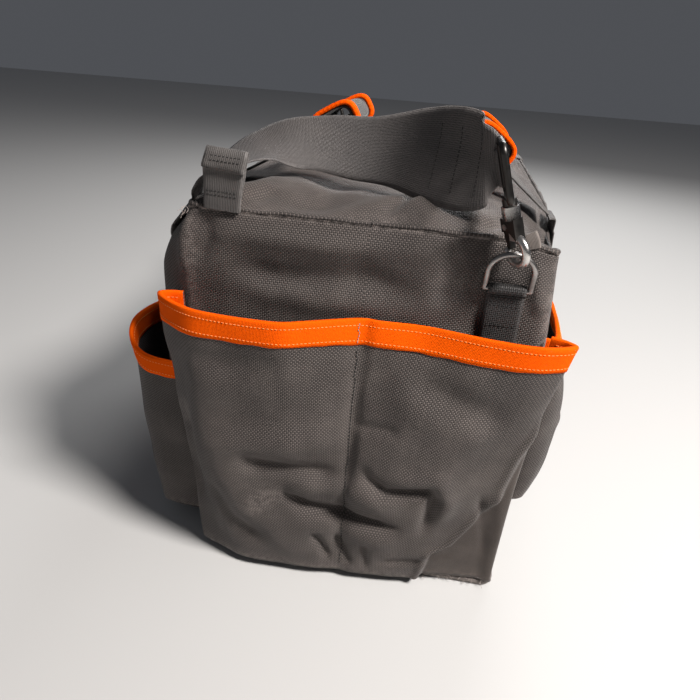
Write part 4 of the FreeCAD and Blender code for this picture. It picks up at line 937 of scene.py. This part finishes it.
def handle(side, sign, lean, rise):
    """A carry handle, whose bow rises from its hinge and leans in by lean degrees, and its sewn anchors."""
    hinge = np.array([sign * HINGE_X, 0.0, HINGE_Z])
    turn = math.radians(lean)
    rise_way = np.array([-sign * math.sin(turn), 0, math.cos(turn)])
    face = np.array([math.cos(turn) * sign, 0, math.sin(turn)])
    body = f"{side}_handle"

    def spot(y, s, out):
        """Points y along the hinge, s up the bow and out from its face."""
        return hinge + y[:, None] * np.array([0, 1.0, 0]) + s[:, None] * rise_way + out[:, None] * face

    leg = [(ANCHOR_Y, 1.5), (189, 0.18 * rise), (168, 0.46 * rise), (132, 0.80 * rise)]
    leg += [(96, rise - 1), (60, rise)]
    flat = smooth_line([(-y, s) for y, s in leg] + [(0, rise)] + leg[::-1], 200)
    wave = 1.3 * np.sin(flat[:, 0] / 23.0) * (np.abs(flat[:, 0]) > 66)
    centre = spot(flat[:, 0], flat[:, 1], wave * step(flat[:, 1], 5, 40))
    ahead = unit(np.gradient(centre, axis=0))
    across = np.cross(np.repeat(face[None], 200, 0), ahead)
    mesh = Mesh()
    mesh.ribbon(centre, across, WEB_HALF, 2.5, 11, wear_edge=0.35)
    mesh.finish(f"{side}_handle_strip", ["dark_webbing"], body, "dark_webbing", (f"{side}_handle_webbing",))

    def slab(y_low, y_high, grow, rows, padded=True):
        """Rings round the bow: the padded grip, or a band of binding that grows outside it."""
        turns = np.linspace(0, 2 * math.pi, GRIP_SIDES, endpoint=False)
        c, s = np.cos(turns), np.sin(turns)
        rings = []
        for y in np.linspace(y_low, y_high, rows):
            tuck = 1 - 0.10 * (1 - step(min(y - y_low, y_high - y), 0, 10)) if padded else 1.0
            s_in = np.sign(c) * np.abs(c) ** 0.55 * ((GRIP_HALF + grow) * tuck)
            s_out = np.sign(s) * np.abs(s) ** 0.62 * ((GRIP_DEEP + grow) * tuck)
            rings.append(spot(np.full(GRIP_SIDES, y), rise + s_in, s_out))
        p = np.array(rings)
        if padded:
            p = p + surface_normals(p, True) * (0.6 * ripple(p, 22, 101) + 0.35 * ripple(p, 10, 102))[..., None]
        return p[:, ::-sign]

    grip = Mesh().grid(slab(-65, 65, 0.0, 60), wrap_u=True)
    grip = grip.finish(f"{side}_grip_pad", ["grip_cloth"], body, "grip_cloth", (f"{side}_handle_grip",), 3.0)
    bands, rows = Mesh(), Mesh()
    for y_low, y_high in ((-67.5, -53.0), (53.0, 67.5)):
        p = slab(y_low, y_high, 2.4, 9, False)
        bands.grid(p, wrap_u=True)
        out = surface_normals(p, True)
        for index in (2, 6):
            line, ups = (np.vstack([field[index], field[index][:1]]) for field in (p, out))
            rows.stitches(line, ups, 2.4, 1.2, 0.35)
    bands.finish(f"{side}_grip_bands", ["orange_binding"], body, "orange_binding",
                 (f"{side}_handle_binding",), 5.0)
    rows.finish(f"{side}_grip_stitches", ["orange_thread"], body, "orange_binding")
    edge = spot(np.linspace(-52, 52, 60), np.full(60, rise - 12.0), np.full(60, 12.6))
    flap = Mesh().stitches(edge, face, 2.8, 1.3, 0.35)
    flap.finish(f"{side}_grip_seam", ["dark_thread"], body, "grip_cloth")

    # Each anchor lies on the wall, bends over the edge under the hinge, and is sewn in a crossed box.
    strips, sew = Mesh(), Mesh()
    for y in (-ANCHOR_Y, ANCHOR_Y):
        skin = np.column_stack([np.full(40, sign * (HALF_X + 2.6)), np.full(40, y), np.linspace(276, 399, 40)])
        skin = slump(skin)
        over = [(sign * 167, y, 403.7), (sign * 161.5, y, 403.8)]
        bend = smooth_line([skin[-1], skin[-1] + (-1.2 * sign, 0, 3.0), *over], 12)
        mid, normal = strips.ribbon(np.vstack([skin, bend[1:]]), (0, 1, 0), WEB_HALF, 2.3, 9, wear_edge=0.3)
        ups = (1 if normal[0][0] * sign > 0 else -1) * normal
        low, high, stitch = 3, 16, (2.6, 1.2, 0.36)
        for column in (1, 7):
            sew.stitches(mid[low:high, column] + ups[low:high] * 1.2, ups[low:high], *stitch)
        for row in (low, high, 30, 36):
            sew.stitches(mid[row, 1:-1] + ups[row] * 1.2, ups[row], *stitch)
        for a, b in ((1, 7), (7, 1)):
            sew.stitches(np.linspace(mid[low, a], mid[high, b], 12) + ups[low] * 1.2, ups[low], *stitch)
    strips.finish(f"{side}_anchor_strips", ["dark_webbing"], "bag", "dark_webbing", (f"{side}_handle_anchors",))
    sew.finish(f"{side}_anchor_stitches", ["thread"], "bag", "dark_webbing")


def tabs():
    for end, spin, drop in (("front", 1, 0), ("rear", -1, REAR_DROP)):
        turn = np.array([spin, spin, 1.0])
        down = np.array([0, 0, -drop])
        line = [(-281.5, 301), (-281.6, 320), (-281.7, 342), (-281.4, 350)]
        for angle in np.radians(np.linspace(40, 320, 22)):
            line.append((RING_BAR_Y + 4.0 * math.cos(angle), RING_BAR_Z + 4.0 * math.sin(angle)))
        line += [(-284.2, 349), (-284.1, 342), (-283.9, 318), (-283.7, 304)]
        centre = smooth_line(np.insert(line, 0, RING_X, axis=1) * turn + down, 110)
        mesh = Mesh()
        mesh.ribbon(centre, (1, 0, 0), 16.4, 1.9, 11, wear_edge=0.4)
        mesh.finish(f"{end}_ring_webbing", ["shaded_webbing"], "bag", "dark_webbing", (f"{end}_ring_tab",))
        sew = Mesh()
        for z in (345.0, 341.5, 322.0):
            xs = np.linspace(RING_X - 14, RING_X + 14, 12)
            row = np.column_stack([xs, np.full(12, RING_BAR_Y), np.full(12, z)]) * turn + down
            sew.stitches(row, np.array([0, -1.0, 0]) * turn, 2.6, 1.2, 0.3)
        sew.finish(f"{end}_ring_stitches", ["dark_thread"], "bag", "dark_webbing")

    # The grab tab: its hem is folded forward into a lip that leans right, over a slot and a sewn web.
    line = [(-134, -281.0, 399.5), (-133, -281.2, 415), (-131, -280.9, 430), (-129.5, -280.8, 442)]
    line += [(-127.5, -281.4, 450.5), (-127.2, -284.2, 452), (-127.5, -286.8, 448), (-129.5, -288.2, 440)]
    line += [(-130.6, -287.4, 436), (-131.0, -285.0, 435), (-131.4, -283.9, 431), (-133, -283.7, 415),
             (-134, -283.4, 399.5)]
    centre = smooth_line(line, 110)
    mesh = Mesh()
    half = 16.6 + 2.0 * step(centre[:, 2], 400, 436)
    mesh.ribbon(centre, (1, 0, -0.06), half, 2.0, 13, wear_edge=0.55)
    mesh.finish("front_grab_webbing", ["dark_webbing"], "bag", "dark_webbing", ("front_grab_tab",))
    sew = Mesh()
    for z, x0, x1, out in ((447.0, -142, -114, -288.2), (443.0, -143, -115, -289.3), (416, -148, -118, -285.0),
                           (412.5, -148, -118, -285.0)):
        xs = np.linspace(x0, x1, 14)
        row = np.column_stack([xs, np.full(14, out), z - 0.05 * (xs + 133)])
        sew.stitches(row, (0, -1.0, 0), 2.4, 1.1, 0.34)
    sew.finish("front_grab_stitches", ["dark_thread"], "bag", "dark_webbing")

    stub = Mesh()
    line = [(141, -280.6, 394.5), (139.6, -281.5, 399), (137.6, -281.8, 403), (135, -281.2, 407.2)]
    stub.ribbon(smooth_line(line, 24), (1, 0, 0.5), 6.2, 1.8, 7, wear_edge=0.5)
    stub.finish("corner_tape_stub", ["edge_tape"], "bag", "dark_webbing", ("seam_tape_end",))


# ---- Zip ----
def zip_parts():
    for side, sign in (("left", -1), ("right", 1)):
        ys = np.linspace(-121.5, 216.5, 170)
        centre = np.column_stack([np.full(170, sign * 8.6), ys, np.full(170, ZIP_Z)])
        mesh = Mesh()
        mesh.ribbon(centre, (1, 0, 0), 5.4, 0.85, 7,
                    lift=lambda gone, w: 0.10 * np.sin(gone / 9.0) * (1 - w * sign))
        mesh.finish(f"zip_tape_{side}_cloth", ["tape_cloth"], "bag", "tape_cloth", (f"zip_tape_{side}",))
        run = SLOT_BACK - SLOT_FRONT
        turns = int(run / COIL_PITCH)
        t = np.linspace(0, turns * 2 * math.pi, turns * 9)
        x = sign * (2.0 + 0.7 * np.cos(t + (0 if sign > 0 else math.pi)))
        line = np.column_stack([x, SLOT_FRONT + run * t / t[-1], ZIP_Z + 0.85 * np.sin(t)])
        ys = np.linspace(SLOT_FRONT, SLOT_BACK, 60)
        core = np.column_stack([np.full(60, sign * 2.0), ys, np.full(60, ZIP_Z)])
        coil = Mesh().tube(line, 0.30, 5).tube(core, 0.5, 6)
        coil.finish(f"zip_coil_{side}_turns", ["coil_plastic"], "bag", "coil_plastic", (f"zip_coil_{side}",))
    sew = Mesh()
    for x in (-13.4, 13.4):
        ys = np.linspace(-120, 215, 200)
        zs = top_height(np.full(200, x), ys) + 0.1
        sew.stitches(np.column_stack([np.full(200, x), ys, zs]), UP, 2.8, 1.3, 0.35)
    sew.finish("zip_stitches", ["dark_thread"], "bag", "bag_cloth")


# ---- Loose threads and fray ----
def threads():
    rng = np.random.RandomState(12)
    mesh = Mesh()

    def strand(start, way, length, curl):
        start, way = np.asarray(start, float), unit(np.asarray(way, float))
        side = unit(np.cross(way, rng.normal(size=3)))
        s = np.linspace(0, 1, 9)[:, None]
        line = start + way * length * s + side * curl * np.sin(2.6 * s)
        line = line + UP * (-0.2 * length) * s ** 2
        line[:, 2] = np.maximum(line[:, 2], 0.4)
        mesh.tube(line, 0.22, 5)

    for low, high, count in ((-30, 50, 26), (90, 168, 34), (-160, -110, 12)):
        for x in rng.uniform(low, high, count):
            strand((x, -281.5, rng.uniform(3, 9)), (rng.uniform(-1, 1), -0.9, rng.uniform(-0.3, 0.9)),
                   rng.uniform(3, 9), rng.uniform(0.5, 2.5))
    for _ in range(6):
        strand((-171 + rng.uniform(-1, 2), -278 + rng.uniform(-2, 2), 400 - rng.uniform(0, 6)),
               (rng.uniform(-0.6, 0.3), -1, rng.uniform(-1, 0.2)), rng.uniform(4, 10), rng.uniform(1, 3))
    for _ in range(10):
        strand((-171, -264 + rng.uniform(-6, 6), 8 + rng.uniform(0, 20)), (-0.8, -0.8, rng.uniform(-0.4, 0.4)),
               rng.uniform(3, 8), rng.uniform(0.5, 2))
    mesh.finish("frayed_threads", ["thread"], "bag", "edge_tape")


# ---- Hardware that keeps its CAD shape ----
def hardware():
    choices = {"base_board": "board", "strap_adjuster": "black_plastic", "front_pull_loop": "tape_cloth"}
    for end in ("front", "rear"):
        for piece, mat in (("slider", "gunmetal"), ("pull", "gunmetal"), ("d_ring", "gunmetal"),
                           ("hook_eye", "black_metal"), ("hook_body", "silver_metal"),
                           ("hook_trigger", "black_metal"), ("hook_rivet", "silver_metal"),
                           ("hook_spring", "spring_steel")):
            choices[f"{end}_{piece}"] = mat
    for label, mat in choices.items():
        made = NODES[label]
        if not made.material_slots:
            made.data.materials.append(M[mat])
        for held in made.material_slots:
            held.material = M[mat]
    # The round section between a hook body's bowl and its shank is black.
    for end, spin, drop in (("front", 1, 0), ("rear", -1, REAR_DROP)):
        body = NODES[f"{end}_hook_body"]
        body.data.materials.append(M["black_metal"])
        bowl = np.array([0.001 * RING_X * spin, -0.296 * spin, 0.3955 - 0.001 * drop])
        for face in body.data.polygons:
            spot = np.array(body.matrix_world @ face.center) - bowl
            along = spot @ np.array([-0.309, 0.0, 0.951])
            if 0.0145 < along < 0.0335:
                face.material_index = len(body.data.materials) - 1


camera()
studio()
M = materials()
walls()
top()
base()
inside()
pockets()
strap()
handle("left", -1, 60.0, 98.4)
handle("right", 1, 53.7, 66.0)
tabs()
zip_parts()
threads()
hardware()
